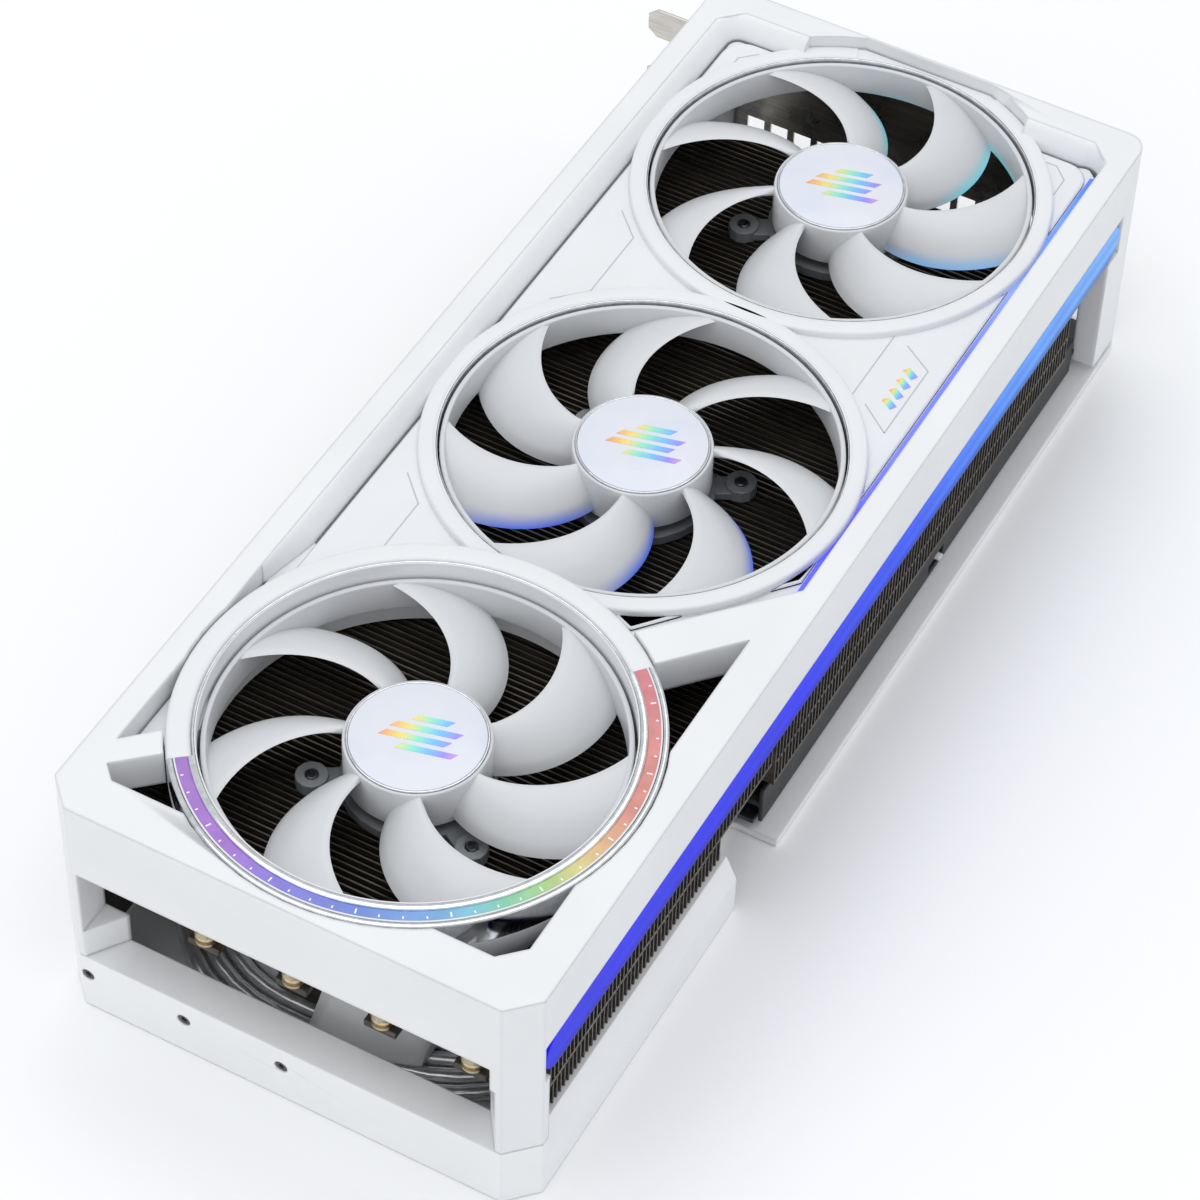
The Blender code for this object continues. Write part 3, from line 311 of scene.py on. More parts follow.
def board_mask():
    """Black solder mask with thin raised tracks and via dots."""
    material, tree, shader = new_material("board_mask")
    vector = object_coords(tree)
    cells = add_node(tree, "ShaderNodeTexVoronoi", Scale=420.0)
    cells.distance = "CHEBYCHEV"
    tree.links.new(vector, cells.inputs["Vector"])
    tracks = add_node(tree, "ShaderNodeTexBrick", Scale=300.0)
    tree.links.new(vector, tracks.inputs["Vector"])
    shade = ramp(tree, cells.outputs["Distance"], [(0.1, (0.05, 0.055, 0.05)), (0.25, (0.012, 0.014, 0.016))])
    tree.links.new(shade, shader.inputs["Base Color"])
    shader.inputs["Roughness"].default_value = 0.35
    add_bump(tree, shader, tracks.outputs["Fac"], 0.4, 0.04)
    return material


def lens_base(name, color, roughness=0.4):
    """Dull lens material, ready for its glow."""
    material, tree, shader = new_material(name)
    shader.inputs["Base Color"].default_value = (*color, 1.0)
    shader.inputs["Roughness"].default_value = roughness
    shader.inputs["Specular IOR Level"].default_value = 0.12
    return material, tree, shader


def bar_glow():
    """Diffusing lens of the side bar: deep blue at the tail, paler along the card, lit on its outer face."""
    material, tree, shader = lens_base("bar_lens", (0.01, 0.012, 0.16))
    axes = object_axes(tree)
    start, end = BAR_HUE_X
    hue = ramp(tree, remap(tree, axes["X"], start * MM, end * MM, 0.0, 1.0), BAR_HUES)
    wave = noise(tree, object_coords(tree, (1.0, 0.0, 0.0)), 45.0, 3.0)
    level = remap(tree, wave, 0.3, 0.7, 0.85, 1.08)
    across = ramp(tree, remap(tree, axes["Z"], BAR_Z[0] * MM, BAR_Z[1] * MM, 0.0, 1.0), BAR_PROFILE)
    outside = remap(tree, axes["Y"], (BAR_FACE_Y - 0.2) * MM, (BAR_FACE_Y + 0.2) * MM, 0.0, 1.0)
    shine = math_node(tree, "MULTIPLY", math_node(tree, "MULTIPLY", level, across), outside)
    tree.links.new(hue, shader.inputs["Emission Color"])
    tree.links.new(shine, shader.inputs["Emission Strength"])
    add_bump(tree, shader, noise(tree, object_coords(tree), 1800.0), 0.15, 0.02)
    return material


def rail_glow():
    """Thin lit guide inside the rail: blue, with paler stretches."""
    material, tree, shader = lens_base("rail_lens", (0.1, 0.12, 0.4))
    start, end = RAIL_LIGHT_X
    along = remap(tree, object_axes(tree)["X"], (start - 3.0) * MM, (end + 2.0) * MM, 0.0, 1.0)
    tree.links.new(ramp(tree, along, RAIL_HUES), shader.inputs["Emission Color"])
    flicker = noise(tree, object_coords(tree, (1.0, 0.0, 0.0)), 70.0)
    tree.links.new(remap(tree, flicker, 0.3, 0.7, 0.75, 1.1), shader.inputs["Emission Strength"])
    add_bump(tree, shader, noise(tree, object_coords(tree), 2000.0), 0.15, 0.02)
    return material


def collar_glow():
    """Collar lens whose colour turns with the angle about the fan."""
    material, tree, shader = lens_base("collar_lens", (0.03, 0.03, 0.03), 0.25)
    coords = tree.nodes.new("ShaderNodeTexCoord")
    centre = tree.nodes.new("ShaderNodeMapping")
    centre.inputs["Location"].default_value = (-TAIL_X * MM, 0.0, 0.0)
    tree.links.new(coords.outputs["Object"], centre.inputs["Vector"])
    split = tree.nodes.new("ShaderNodeSeparateXYZ")
    tree.links.new(centre.outputs["Vector"], split.inputs["Vector"])
    angle = math_node(tree, "ARCTAN2", split.outputs["Y"], split.outputs["X"])
    along = remap(tree, angle, math.radians(LENS_ARC[0]), math.radians(LENS_ARC[1]), 0.0, 1.0)
    hue = ramp(tree, along, COLLAR_HUES)
    tree.links.new(hue, shader.inputs["Emission Color"])
    cloud = noise(tree, object_coords(tree), 160.0, 3.0)
    tree.links.new(remap(tree, cloud, 0.3, 0.7, 0.84, 1.04), shader.inputs["Emission Strength"])
    add_bump(tree, shader, cloud, 0.15, 0.03)
    return material


def pearl(name):
    """Pearly hub foil: cool white that shifts a little from blue to warm."""
    material, tree, shader = new_material(name)
    vector = object_coords(tree)
    shift = noise(tree, vector, 55.0, 2.0)
    stops = [(0.3, (0.68, 0.72, 0.82)), (0.5, (0.73, 0.75, 0.82)), (0.7, (0.76, 0.76, 0.8))]
    tree.links.new(ramp(tree, shift, stops), shader.inputs["Base Color"])
    shader.inputs["Roughness"].default_value = 0.28
    shader.inputs["Coat Weight"].default_value = 0.3
    add_bump(tree, shader, noise(tree, vector, 3000.0), 0.2, 0.01)
    return material


def spectrum_foil(name):
    """Colour-shifting foil for the plain ornament bars."""
    material, tree, shader = new_material(name)
    coords = tree.nodes.new("ShaderNodeTexCoord")
    split = tree.nodes.new("ShaderNodeSeparateXYZ")
    tree.links.new(coords.outputs["Generated"], split.inputs["Vector"])
    tree.links.new(ramp(tree, split.outputs["Y"], FOIL_HUES), shader.inputs["Base Color"])
    rough = remap(tree, noise(tree, object_coords(tree), 900.0), 0.3, 0.7, 0.2, 0.35)
    tree.links.new(rough, shader.inputs["Roughness"])
    shader.inputs["Metallic"].default_value = 0.25
    return material


def blade_plastic(name):
    """Satin plastic of the fan blades."""
    return moulded(name, (0.66, 0.669, 0.684), 0.34, 3200.0, 0.012, 0.1)


def painted_lamp_light(tree, spots, low_edge):
    """How strongly painted light from LEDs near the given spots falls on the lowest edge of the blades, from
    0 to 1; no lamps stand there.
    """
    coords = tree.nodes.new("ShaderNodeTexCoord").outputs["Object"]
    total = 0.0
    for x, y, radius in spots:
        away = tree.nodes.new("ShaderNodeVectorMath")
        away.operation = "DISTANCE"
        away.inputs[1].default_value = (x * MM, y * MM, low_edge * MM)
        tree.links.new(coords, away.inputs[0])
        near = remap(tree, away.outputs["Value"], radius * MM * 0.4, radius * MM, 1.0, 0.0)
        total = math_node(tree, "MAXIMUM", total, near)
    edge = remap(tree, object_axes(tree)["Z"], (low_edge - 0.4) * MM, (low_edge + 3.4) * MM, 1.0, 0.0)
    return math_node(tree, "MULTIPLY", total, math_node(tree, "POWER", edge, 1.3))


def painted_glow_blade_plastic(name, spots, hues, low_edge):
    """Blade plastic with painted light: its low edges near the given spots are tinted and made to glow as if
    lit by LEDs, with hues along X.
    """
    material = blade_plastic(name)
    tree = material.node_tree
    shader = tree.nodes["Principled BSDF"]
    glow = painted_lamp_light(tree, spots, low_edge)
    tree.links.new(math_node(tree, "MULTIPLY", glow, 0.7), shader.inputs["Emission Strength"])
    paint = tree.nodes.new("ShaderNodeMix")
    paint.data_type = "RGBA"
    tree.links.new(glow, paint.inputs["Factor"])
    tree.links.new(shader.inputs["Base Color"].links[0].from_socket, paint.inputs["A"])
    (x0, first), (x1, last) = hues
    if first == last:
        shader.inputs["Emission Color"].default_value = (*first, 1.0)
        paint.inputs["B"].default_value = (*first, 1.0)
    else:
        along = remap(tree, object_axes(tree)["X"], x0 * MM, x1 * MM, 0.0, 1.0)
        hue = ramp(tree, along, [(0.0, first), (1.0, last)])
        tree.links.new(hue, shader.inputs["Emission Color"])
        tree.links.new(hue, paint.inputs["B"])
    tree.links.new(paint.outputs["Result"], shader.inputs["Base Color"])
    return material


WHITE = moulded("frame_plastic", (0.82, 0.827, 0.837), 0.42, edge=1.4)
BAND = moulded("collar_plastic", (0.79, 0.798, 0.81), 0.4)
PLATE = moulded("plate_plastic", (0.8, 0.808, 0.82), 0.36, 3000.0, 0.015, edge=0.6)
PAINT = moulded("white_paint", (0.88, 0.886, 0.894), 0.45, 1900.0, 0.03, edge=0.7)
HUB = moulded("hub_plastic", (0.7, 0.71, 0.724), 0.3, 3200.0, 0.012, 0.2)
BLACK = moulded("black_plastic", (0.02, 0.02, 0.022), 0.5)
GREY = moulded("grey_plastic", (0.22, 0.23, 0.24), 0.45)
# Grey of the painted shade in the plate's panel seams.
SEAM_SHADE = moulded("seam_shadow", (0.52, 0.53, 0.55), 0.6)
# Dark strip of painted shade for the gap at the foot of the rims.
GAP_SHADE = moulded("gap_shadow", (0.13, 0.135, 0.145), 0.6)
TICK = moulded("tick_ink", (0.9, 0.9, 0.93), 0.3)
LAMINATE = moulded("package_laminate", (0.06, 0.09, 0.08), 0.4)
COPPER = metal("copper_winding", (0.72, 0.36, 0.2), 0.35, (1.0, 1.0, 8.0))
CHROME = metal("chrome", (0.78, 0.8, 0.82), 0.07, (1.0, 1.0, 1.0), 500.0, 0.002)
NICKEL = metal("nickel", (0.74, 0.74, 0.75), 0.18, (0.1, 1.0, 1.0))
PIPE = metal("plated_pipe", (0.92, 0.92, 0.93), 0.17, (0.1, 1.0, 1.0), 400.0, 0.002, 0.65)
DUCT = moulded("duct_plastic", (0.84, 0.85, 0.86), 0.32, 2400.0, 0.01, 0.1, edge=0.8)
STEEL = metal("bracket_steel", (0.66, 0.63, 0.58), 0.28, (1.0, 0.08, 1.0))
BRASS = metal("brass", (0.66, 0.56, 0.38), 0.25)
GOLD = metal("gold_plate", (0.9, 0.68, 0.26), 0.22, (1.0, 0.1, 1.0))
DARK_STEEL = metal("dark_steel", (0.12, 0.12, 0.13), 0.35)
FINS = fin_metal()
BOARD = board_mask()
BAR_LENS = bar_glow()
RAIL_LENS = rail_glow()
COLLAR_LENS = collar_glow()
PEARL = pearl("hub_pearl")
FOIL = spectrum_foil("ornament_foil")


# ---------------------------------------------------------------- mesh helpers

def link(obj, material, body, replaces):
    """Put a piece in the scene on its body and in place of the CAD nodes it stands for."""
    bpy.context.scene.collection.objects.link(obj)
    obj.data.materials.append(material)
    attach(obj, body)
    if replaces:
        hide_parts(*replaces)
    return obj


def smooth(mesh, angle):
    """Smooth shading with edges kept sharp past an angle in degrees."""
    mesh.shade_smooth()
    mesh.set_sharp_from_angle(angle=math.radians(angle))


def soften(obj, width, segments=3, angle=32.0):
    """Round the sharp edges of a piece."""
    bevel = obj.modifiers.new("soften", "BEVEL")
    bevel.width = width * MM
    bevel.segments = segments
    bevel.limit_method = "ANGLE"
    bevel.angle_limit = math.radians(angle)
    bevel.use_clamp_overlap = False
    bevel.loop_slide = False
    normals = obj.modifiers.new("normals", "WEIGHTED_NORMAL")
    normals.keep_sharp = True
    return obj


def refined(node, material, width=0.0, segments=3, body=CARD, angle=ROUND_ANGLE):
    """Welded copy of a CAD node that stands for it, with its edges rounded where a width is given."""
    shape = bmesh.new()
    shape.from_mesh(frame["nodes"][node].data)
    bmesh.ops.remove_doubles(shape, verts=shape.verts, dist=WELD)
    bmesh.ops.recalc_face_normals(shape, faces=shape.faces)
    clean = bpy.data.meshes.new(node + "_look")
    shape.to_mesh(clean)
    shape.free()
    smooth(clean, angle)
    obj = bpy.data.objects.new(node + "_look", clean)
    link(obj, material, body, (node,))
    if width:
        soften(obj, width, segments)
    else:
        obj.modifiers.new("normals", "WEIGHTED_NORMAL").keep_sharp = True
    return obj


def made(name, verts, faces, material, slot, body=CARD, replaces=(), angle=ROUND_ANGLE):
    """Object from points in millimetres and faces."""
    mesh = bpy.data.meshes.new(name)
    mesh.from_pydata([[value * MM for value in vert] for vert in verts], [], faces)
    shape = bmesh.new()
    shape.from_mesh(mesh)
    bmesh.ops.recalc_face_normals(shape, faces=shape.faces)
    shape.to_mesh(mesh)
    shape.free()
    smooth(mesh, angle)
    return link(bpy.data.objects.new(name, mesh), material, body, replaces)


def box_points(low, high):
    (x0, y0, z0), (x1, y1, z1) = low, high
    return [(x0, y0, z0), (x1, y0, z0), (x1, y1, z0), (x0, y1, z0),
            (x0, y0, z1), (x1, y0, z1), (x1, y1, z1), (x0, y1, z1)]


BOX_FACES = ((0, 3, 2, 1), (4, 5, 6, 7), (0, 1, 5, 4), (1, 2, 6, 5), (2, 3, 7, 6), (3, 0, 4, 7))


def boxes(name, spans, material, slot, replaces=()):
    """One mesh of many boxes, each given by its low and high corner."""
    verts, faces = [], []
    for low, high in spans:
        start = len(verts)
        verts += box_points(low, high)
        faces += [tuple(start + i for i in face) for face in BOX_FACES]
    return made(name, verts, faces, material, slot, replaces=replaces)


def swept_ring(name, profile, centre, material, start=0.0, end=360.0, steps=160, **links):
    """Closed profile of (radius, z) swept about a vertical axis, with flat ends if it isn't a whole turn."""
    whole = end - start >= 360.0
    rows = steps if whole else steps + 1
    verts, faces = [], []
    for i in range(rows):
        angle = math.radians(start + (end - start) * i / steps)
        verts += [(centre[0] + r * math.cos(angle), centre[1] + r * math.sin(angle), z) for r, z in profile]
    count = len(profile)
    for i in range(steps):
        for j in range(count):
            k = (j + 1) % count
            a, b = i * count, ((i + 1) % rows) * count
            faces.append((a + j, a + k, b + k, b + j))
    if not whole:
        faces.append(tuple(range(count)))
        faces.append(tuple(range((rows - 1) * count, rows * count)))
    return made(name, verts, faces, material, angle=RING_ANGLE, **links)


def turned(name, profile, centre, material, steps=96, **links):
    """Solid of revolution about a vertical axis; the profile starts and ends on the axis."""
    verts = [(centre[0], centre[1], profile[0][1]), (centre[0], centre[1], profile[-1][1])]
    faces = []
    inner = profile[1:-1]
    count = len(inner)
    for i in range(steps):
        angle = 2.0 * math.pi * i / steps
        verts += [(centre[0] + r * math.cos(angle), centre[1] + r * math.sin(angle), z) for r, z in inner]
    for i in range(steps):
        a, b = 2 + i * count, 2 + ((i + 1) % steps) * count
        faces.append((0, a, b))
        faces.append((1, b + count - 1, a + count - 1))
        faces += [(a + j, a + j + 1, b + j + 1, b + j) for j in range(count - 1)]
    return made(name, verts, faces, material, angle=RING_ANGLE, **links)


def prism_faces(count):
    """Faces of an upright prism whose points are its lower outline, then its upper one."""
    faces = [tuple(range(count)), tuple(range(count, 2 * count))]
    return faces + [(i, (i + 1) % count, count + (i + 1) % count, count + i) for i in range(count)]


def rounded(r0, r1, z0, z1, radius, steps=4):
    """Ring section with its two top corners rounded, as (radius, z) points."""
    points = [(r1, z0)]
    for i in range(steps + 1):
        a = math.radians(90.0 * i / steps)
        points.append((r1 - radius + radius * math.cos(a), z1 - radius + radius * math.sin(a)))
    for i in range(steps + 1):
        a = math.radians(90.0 + 90.0 * i / steps)
        points.append((r0 + radius + radius * math.cos(a), z1 - radius + radius * math.sin(a)))
    points.append((r0, z0))
    return points


# ---------------------------------------------------------------- casing

def casing():
    """The four white shells."""
    refined("shroud_frame", WHITE, angle=FLAT_ANGLE)
    refined("fan_plate", PLATE, angle=FLAT_ANGLE)
    refined("backplate", PAINT, angle=FLAT_ANGLE)
    refined("tail_tray", PAINT, angle=FLAT_ANGLE)


def plate_rings():
    """Rounded collars round the two plain fans, each with a thin bright line at its bore."""
    for number, (start, end) in enumerate(((-158.0, 158.0), (0.0, 360.0))):
        centre = (FAN_X[number], 0.0)
        band = rounded(53.5, 58.05, 69.0, 73.65, 0.9)
        swept_ring(f"plate_band_{number + 1}", band, centre, BAND, start, end, slot="white_plate")
        line = rounded(52.9, 53.5, 70.0, 73.3, 0.2)
        swept_ring(f"fan_{number + 1}_bright_line", line, centre, CHROME, slot="chrome_trim")


def strips(name, runs, half_width, z, material, slot):
    """Thin flat strips along straight runs in plan, lying on a face between two heights."""
    verts, faces = [], []
    for (x0, y0), (x1, y1) in runs:
        along = Vector((x1 - x0, y1 - y0)).normalized()
        side = Vector((-along.y, along.x)) * half_width
        start = len(verts)
        for level in z:
            verts += [(x0 + side.x, y0 + side.y, level), (x0 - side.x, y0 - side.y, level),
                      (x1 - side.x, y1 - side.y, level), (x1 + side.x, y1 + side.y, level)]
        faces += [tuple(start + i for i in face) for face in BOX_FACES]
    made(name, verts, faces, material, slot)


def chain(points):
    """Straight runs from each point to the next."""
    return list(zip(points, points[1:]))


def plate_seams():
    """Grey strips of painted shade along thin panel seams on the raised pads of the fan plate, and a plain
    slanted ornament.
    """
    top = PAD_Z[1]
    lines = ([(-85.0, 45.0), (-78.0, 38.0), (-46.0, 38.0), (-38.0, 46.0)],
             [(-72.0, 42.5), (-66.0, 51.5), (-40.0, 51.5), (-47.0, 42.5)],
             [(-80.0, -48.0), (-72.0, -40.0), (-48.0, -40.0), (-40.0, -48.0)],
             [(34.0, -48.0), (42.0, -40.0), (62.0, -40.0), (70.0, -48.0)],
             [(-145.0, 51.3), (-152.0, 51.3), (-156.2, 47.1), (-156.2, 43.0)],
             [(-145.0, -50.0), (-152.0, -50.0), (-156.2, -45.8), (-156.2, -43.0)])
    runs = [run for line in lines for run in chain(line)]
    # The seam strips are painted shade lying on the pads, not grooves.
    strips("plate_seams", runs, 0.2, (top - 0.1, top + 0.03), SEAM_SHADE, "white_plate")
    dashes = [((x, 46.2), (x + 2.2, 49.6)) for x in (-64.0, -59.8, -55.6, -51.4)]
    strips("plate_ornament", dashes, 1.1, (top - 0.1, top + 0.05), FOIL, "hub_badge")


def around(number, start, end, reach=PAD_REACH, steps=14):
    """Points in plan round a fan's axis."""
    angles = [math.radians(start + (end - start) * i / steps) for i in range(steps + 1)]
    return [(FAN_X[number] + reach * math.cos(a), reach * math.sin(a)) for a in angles]


def pad(name, outline):
    """Raised pad of the fan plate with a rounded border."""
    verts = [(x, y, z) for z in PAD_Z for x, y in outline]
    plain = made(name, verts, prism_faces(len(outline)), PLATE, "white_plate", angle=50.0)
    soften(plain, 0.8, 4, 60.0)


def turn_at(y, reach=PAD_REACH):
    """Angle at which a circle round a fan's axis comes to the given distance from the middle line."""
    return math.degrees(math.asin(y / reach))


def plate_pads():
    """Raised pads between the fan collars and the rims, on both sides of the card."""
    for side, edge in ((1, PAD_EDGE_HIGH), (-1, PAD_EDGE_LOW)):
        turn = turn_at(edge)
        between = around(0, 14.0, turn) + around(1, 180.0 - turn, 166.0)
        pad(f"pad_middle_{side + 1}", [(x, side * y) for x, y in between])
        corner = Vector((PAD_FAR_X + PAD_CORNER, edge - PAD_CORNER))
        bend = [math.radians(180.0 - 90.0 * i / 6) for i in range(7)]
        reach = math.degrees(math.acos((PAD_FAR_X - FAN_X[0]) / PAD_REACH))
        far = [(corner.x + PAD_CORNER * math.cos(a), corner.y + PAD_CORNER * math.sin(a)) for a in bend]
        far += around(0, 180.0 - turn, reach)
        pad(f"pad_far_{side + 1}", [(x, side * y) for x, y in far])
    outer = 180.0 + turn_at(PAD_EDGE_LOW, PAD_TAIL_REACH)
    tail = around(1, -22.0, -turn_at(PAD_EDGE_LOW)) + around(2, outer, 198.0, PAD_TAIL_REACH)
    pad("pad_tail", tail)
    pad("pad_arm", around(1, 21.0, turn_at(PAD_EDGE_HIGH)) + [(17.0, PAD_EDGE_HIGH), (52.5, 27.0)])


def slope(name, path):
    """Rounded inner side of a rim, swept along its foot; each station is a point, a direction and a width."""
    steps, fullness = 8, 1.35
    verts, faces = [], []
    low, high = SLOPE_Z
    for (x, y), (u, v), width in path:
        section = [(-0.5, low), (-0.5, high)]
        for i in range(steps + 1):
            t = math.radians(90.0 * i / steps)
            out, up = math.sin(t) ** fullness, max(0.0, math.cos(t)) ** fullness
            section.append((width * out, low + (high - low) * up))
        verts += [(x + u * reach, y + v * reach, z) for reach, z in section]
    count = steps + 3
    for i in range(len(path) - 1):
        for j in range(count):
            k = (j + 1) % count
            faces.append((i * count + j, i * count + k, (i + 1) * count + k, (i + 1) * count + j))
    faces.append(tuple(range(count)))
    faces.append(tuple(range((len(path) - 1) * count, len(path) * count)))
    made(name, verts, faces, WHITE, "white_frame", angle=50.0)


def rim_corner(steps=8):
    """Stations round the rims' inner corner at +Y, each a point and the direction away from the rim."""
    x, y = RIM_X + RIM_BEND, RIM_Y - RIM_BEND
    turns = [math.radians(90.0 + 90.0 * i / steps) for i in range(steps + 1)]
    return [((x + RIM_BEND * math.cos(a), y + RIM_BEND * math.sin(a)), (-math.cos(a), -math.sin(a)))
            for a in turns]


def slope_foot(path):
    """Points in plan just off the foot of a slope."""
    return [(x + u * (width + GAP_OFFSET), y + v * (width + GAP_OFFSET)) for (x, y), (u, v), width in path]


def rail_slopes():
    """Rounded inner sides from the rims down to the fan plate, and a dark strip of painted shade along their
    foot where the gap is shaded.
    """
    inward, straight_end = (0.0, 1.0), 66.0
    corner = rim_corner()
    low_side = [((straight_end, -RIM_Y), inward, SLOPE_WIDTH)]
    low_side += [((x, -y), (u, -v), SLOPE_WIDTH) for (x, y), (u, v) in corner]
    run_out = [((straight_end + 18.0, -RIM_Y), inward, SLOPE_THIN)]
    slope("rail_slope", run_out + low_side + [((RIM_X, -33.8), (1.0, 0.0), SLOPE_WIDTH)])
    growth = (SLOPE_WIDTH - SLOPE_THIN) / (len(corner) - 1)
    high_side = [(point, way, SLOPE_THIN + growth * i) for i, (point, way) in enumerate(corner)]
    slope("far_slope", high_side + [((RIM_X, 33.8), (1.0, 0.0), SLOPE_WIDTH)])
    foot_x = RIM_X + SLOPE_WIDTH + GAP_OFFSET
    gap = slope_foot(low_side) + [(foot_x, -40.0)]
    other = [(foot_x, 40.0)] + slope_foot(reversed(high_side))
    # Painted shade: a dark strip lying on the plate along the slopes' foot.
    heights = (PLATE_TOP, PLATE_TOP + 0.16)
    strips("plate_gap_shade", chain(gap) + chain(other), 0.32, heights, GAP_SHADE, "white_plate")


def tail_collar():
    """Collar round the tail fan: a plain rounded band, an arc that carries the lens, a lip and a flange."""
    start, end = LENS_ARC
    centre = (TAIL_X, 0.0)
    foot = [(53.3, 56.2), (57.2, 56.2), (60.7, 66.0)]
    plain = foot + rounded(54.3, 60.7, 66.5, COLLAR_TOP, 1.5)[1:-1] + [(54.3, LENS_SEAT), (53.3, LENS_SEAT)]
    swept_ring("tail_collar_plain", plain, centre, BAND, end, start + 360.0, slot="white_collar",
               replaces=("tail_collar",))
    lit = foot + [(60.7, 68.6), (59.0, 68.6), (59.0, 76.9), (58.62, 76.9), (58.62, 74.9), (53.3, 74.9)]
    swept_ring("tail_collar_lit", lit, centre, BAND, start, end, slot="white_collar")
    lip = rounded(53.2, 53.6, 70.0, 76.9, 0.18)
    swept_ring("tail_collar_lip", lip, centre, BAND, slot="white_collar")
    flange = [(108.0, -59.7), (147.0, -59.7), (139.4, -51.6), (132.0, -48.0), (108.0, -57.0)]
    verts = [(x, y, z) for z in (65.3, 70.5) for x, y in flange]
    made("tail_collar_flange", verts, prism_faces(len(flange)), PLATE, "white_collar")


def collar_rings():
    """The collar's lens, with a bright ring on each side of it and a thin one along the plain stretch."""
    start, end = LENS_ARC
    centre = (TAIL_X, 0.0)
    lens = rounded(55.7, 58.55, LENS_SEAT - 0.05, 76.85, 0.5)
    swept_ring("collar_lens", lens, centre, COLLAR_LENS, start, end, slot="collar_light",
               replaces=("collar_light",))
    inner = rounded(53.65, 55.5, LENS_SEAT, COLLAR_TOP, 0.5)
    swept_ring("collar_inner_ring", inner, centre, CHROME, start, end, slot="chrome_trim",
               replaces=("collar_trim_inner",))
    thin = rounded(53.65, 54.25, LENS_SEAT, COLLAR_TOP - 0.15, 0.25)
    swept_ring("collar_thin_ring", thin, centre, CHROME, end, start + 360.0, slot="chrome_trim")
    outer = rounded(59.1, 60.65, 69.0, COLLAR_TOP, 0.6)
    swept_ring("collar_outer_ring", outer, centre, CHROME, start, end, slot="chrome_trim",
               replaces=("collar_trim_outer",))


def collar_ticks():
    """Small pale marks printed along the lens, every fourth one longer."""
    start, end = LENS_ARC
    verts, faces = [], []
    count, half_width, outer = 34, 0.2, 58.1
    for i in range(1, count):
        angle = math.radians(start + (end - start) * i / count)
        inner = 57.4 if i % 4 else 56.7
        radial = Vector((math.cos(angle), math.sin(angle)))
        side = Vector((-radial.y, radial.x)) * half_width
        base = len(verts)
        for z in (76.8, 76.95):
            for radius, sign in ((inner, 1), (inner, -1), (outer, -1), (outer, 1)):
                point = radial * radius + side * sign
                verts.append((TAIL_X + point.x, point.y, z))
        faces += [tuple(base + k for k in face) for face in BOX_FACES]
    made("collar_ticks", verts, faces, TICK, "collar_light")


# ---------------------------------------------------------------- fans

def blade_point(radius, share, fan, index, lift):
    """Point of a blade at a radius and a share of its chord, lifted off the middle surface."""
    t = max(0.0, (radius - fan["root"]) / (fan["tip"] - fan["root"]))
    angle = fan["phase"] + fan["turn"] * BLADE_SWEEP * t ** 1.4
    angle -= fan["turn"] * fan["chord"] * (1.0 - share)
    angle = math.radians(angle + index * 360.0 / fan["count"])
    low, high = fan["z"]
    z = low + (high - low) * share + fan["face"] * fan["camber"] * math.sin(math.pi * share) + lift
    return (fan["x"] + radius * math.cos(angle), radius * math.sin(angle), z)


def blade_section(thick, span, chords):
    """Shares of the chord with the half thickness there; blades are thicker near the hub and the ring."""
    flare = 1.0 + 1.2 * math.exp(-5.0 * span) + 0.5 * math.exp(-6.0 * (1.0 - span))
    shares = [j / chords for j in range(chords + 1)]
    return [(s, thick / 2 * flare * math.sqrt(max(0.0, 1.0 - (2.0 * s - 1.0) ** 8))) for s in shares]


def blades(name, fan, material, body, slot):
    """Thin lofted blades with rounded edges, from the hub out to the ring."""
    spans, chords = 18, 14
    loop = 2 * chords
    verts, faces = [], []
    for index in range(fan["count"]):
        base = len(verts)
        for i in range(spans + 1):
            radius = fan["root"] + (fan["tip"] - fan["root"]) * i / spans
            section = blade_section(fan["thick"], i / spans, chords)
            verts += [blade_point(radius, s, fan, index, h) for s, h in section]
            verts += [blade_point(radius, s, fan, index, -h) for s, h in reversed(section[1:-1])]
        for i in range(spans):
            for j in range(loop):
                k = (j + 1) % loop
                a, b = base + i * loop, base + (i + 1) * loop
                faces.append((a + j, a + k, b + k, b + j))
        faces.append(tuple(base + j for j in range(loop)))
        faces.append(tuple(base + spans * loop + j for j in range(loop)))
    made(name, verts, faces, material, slot, body, angle=60.0)


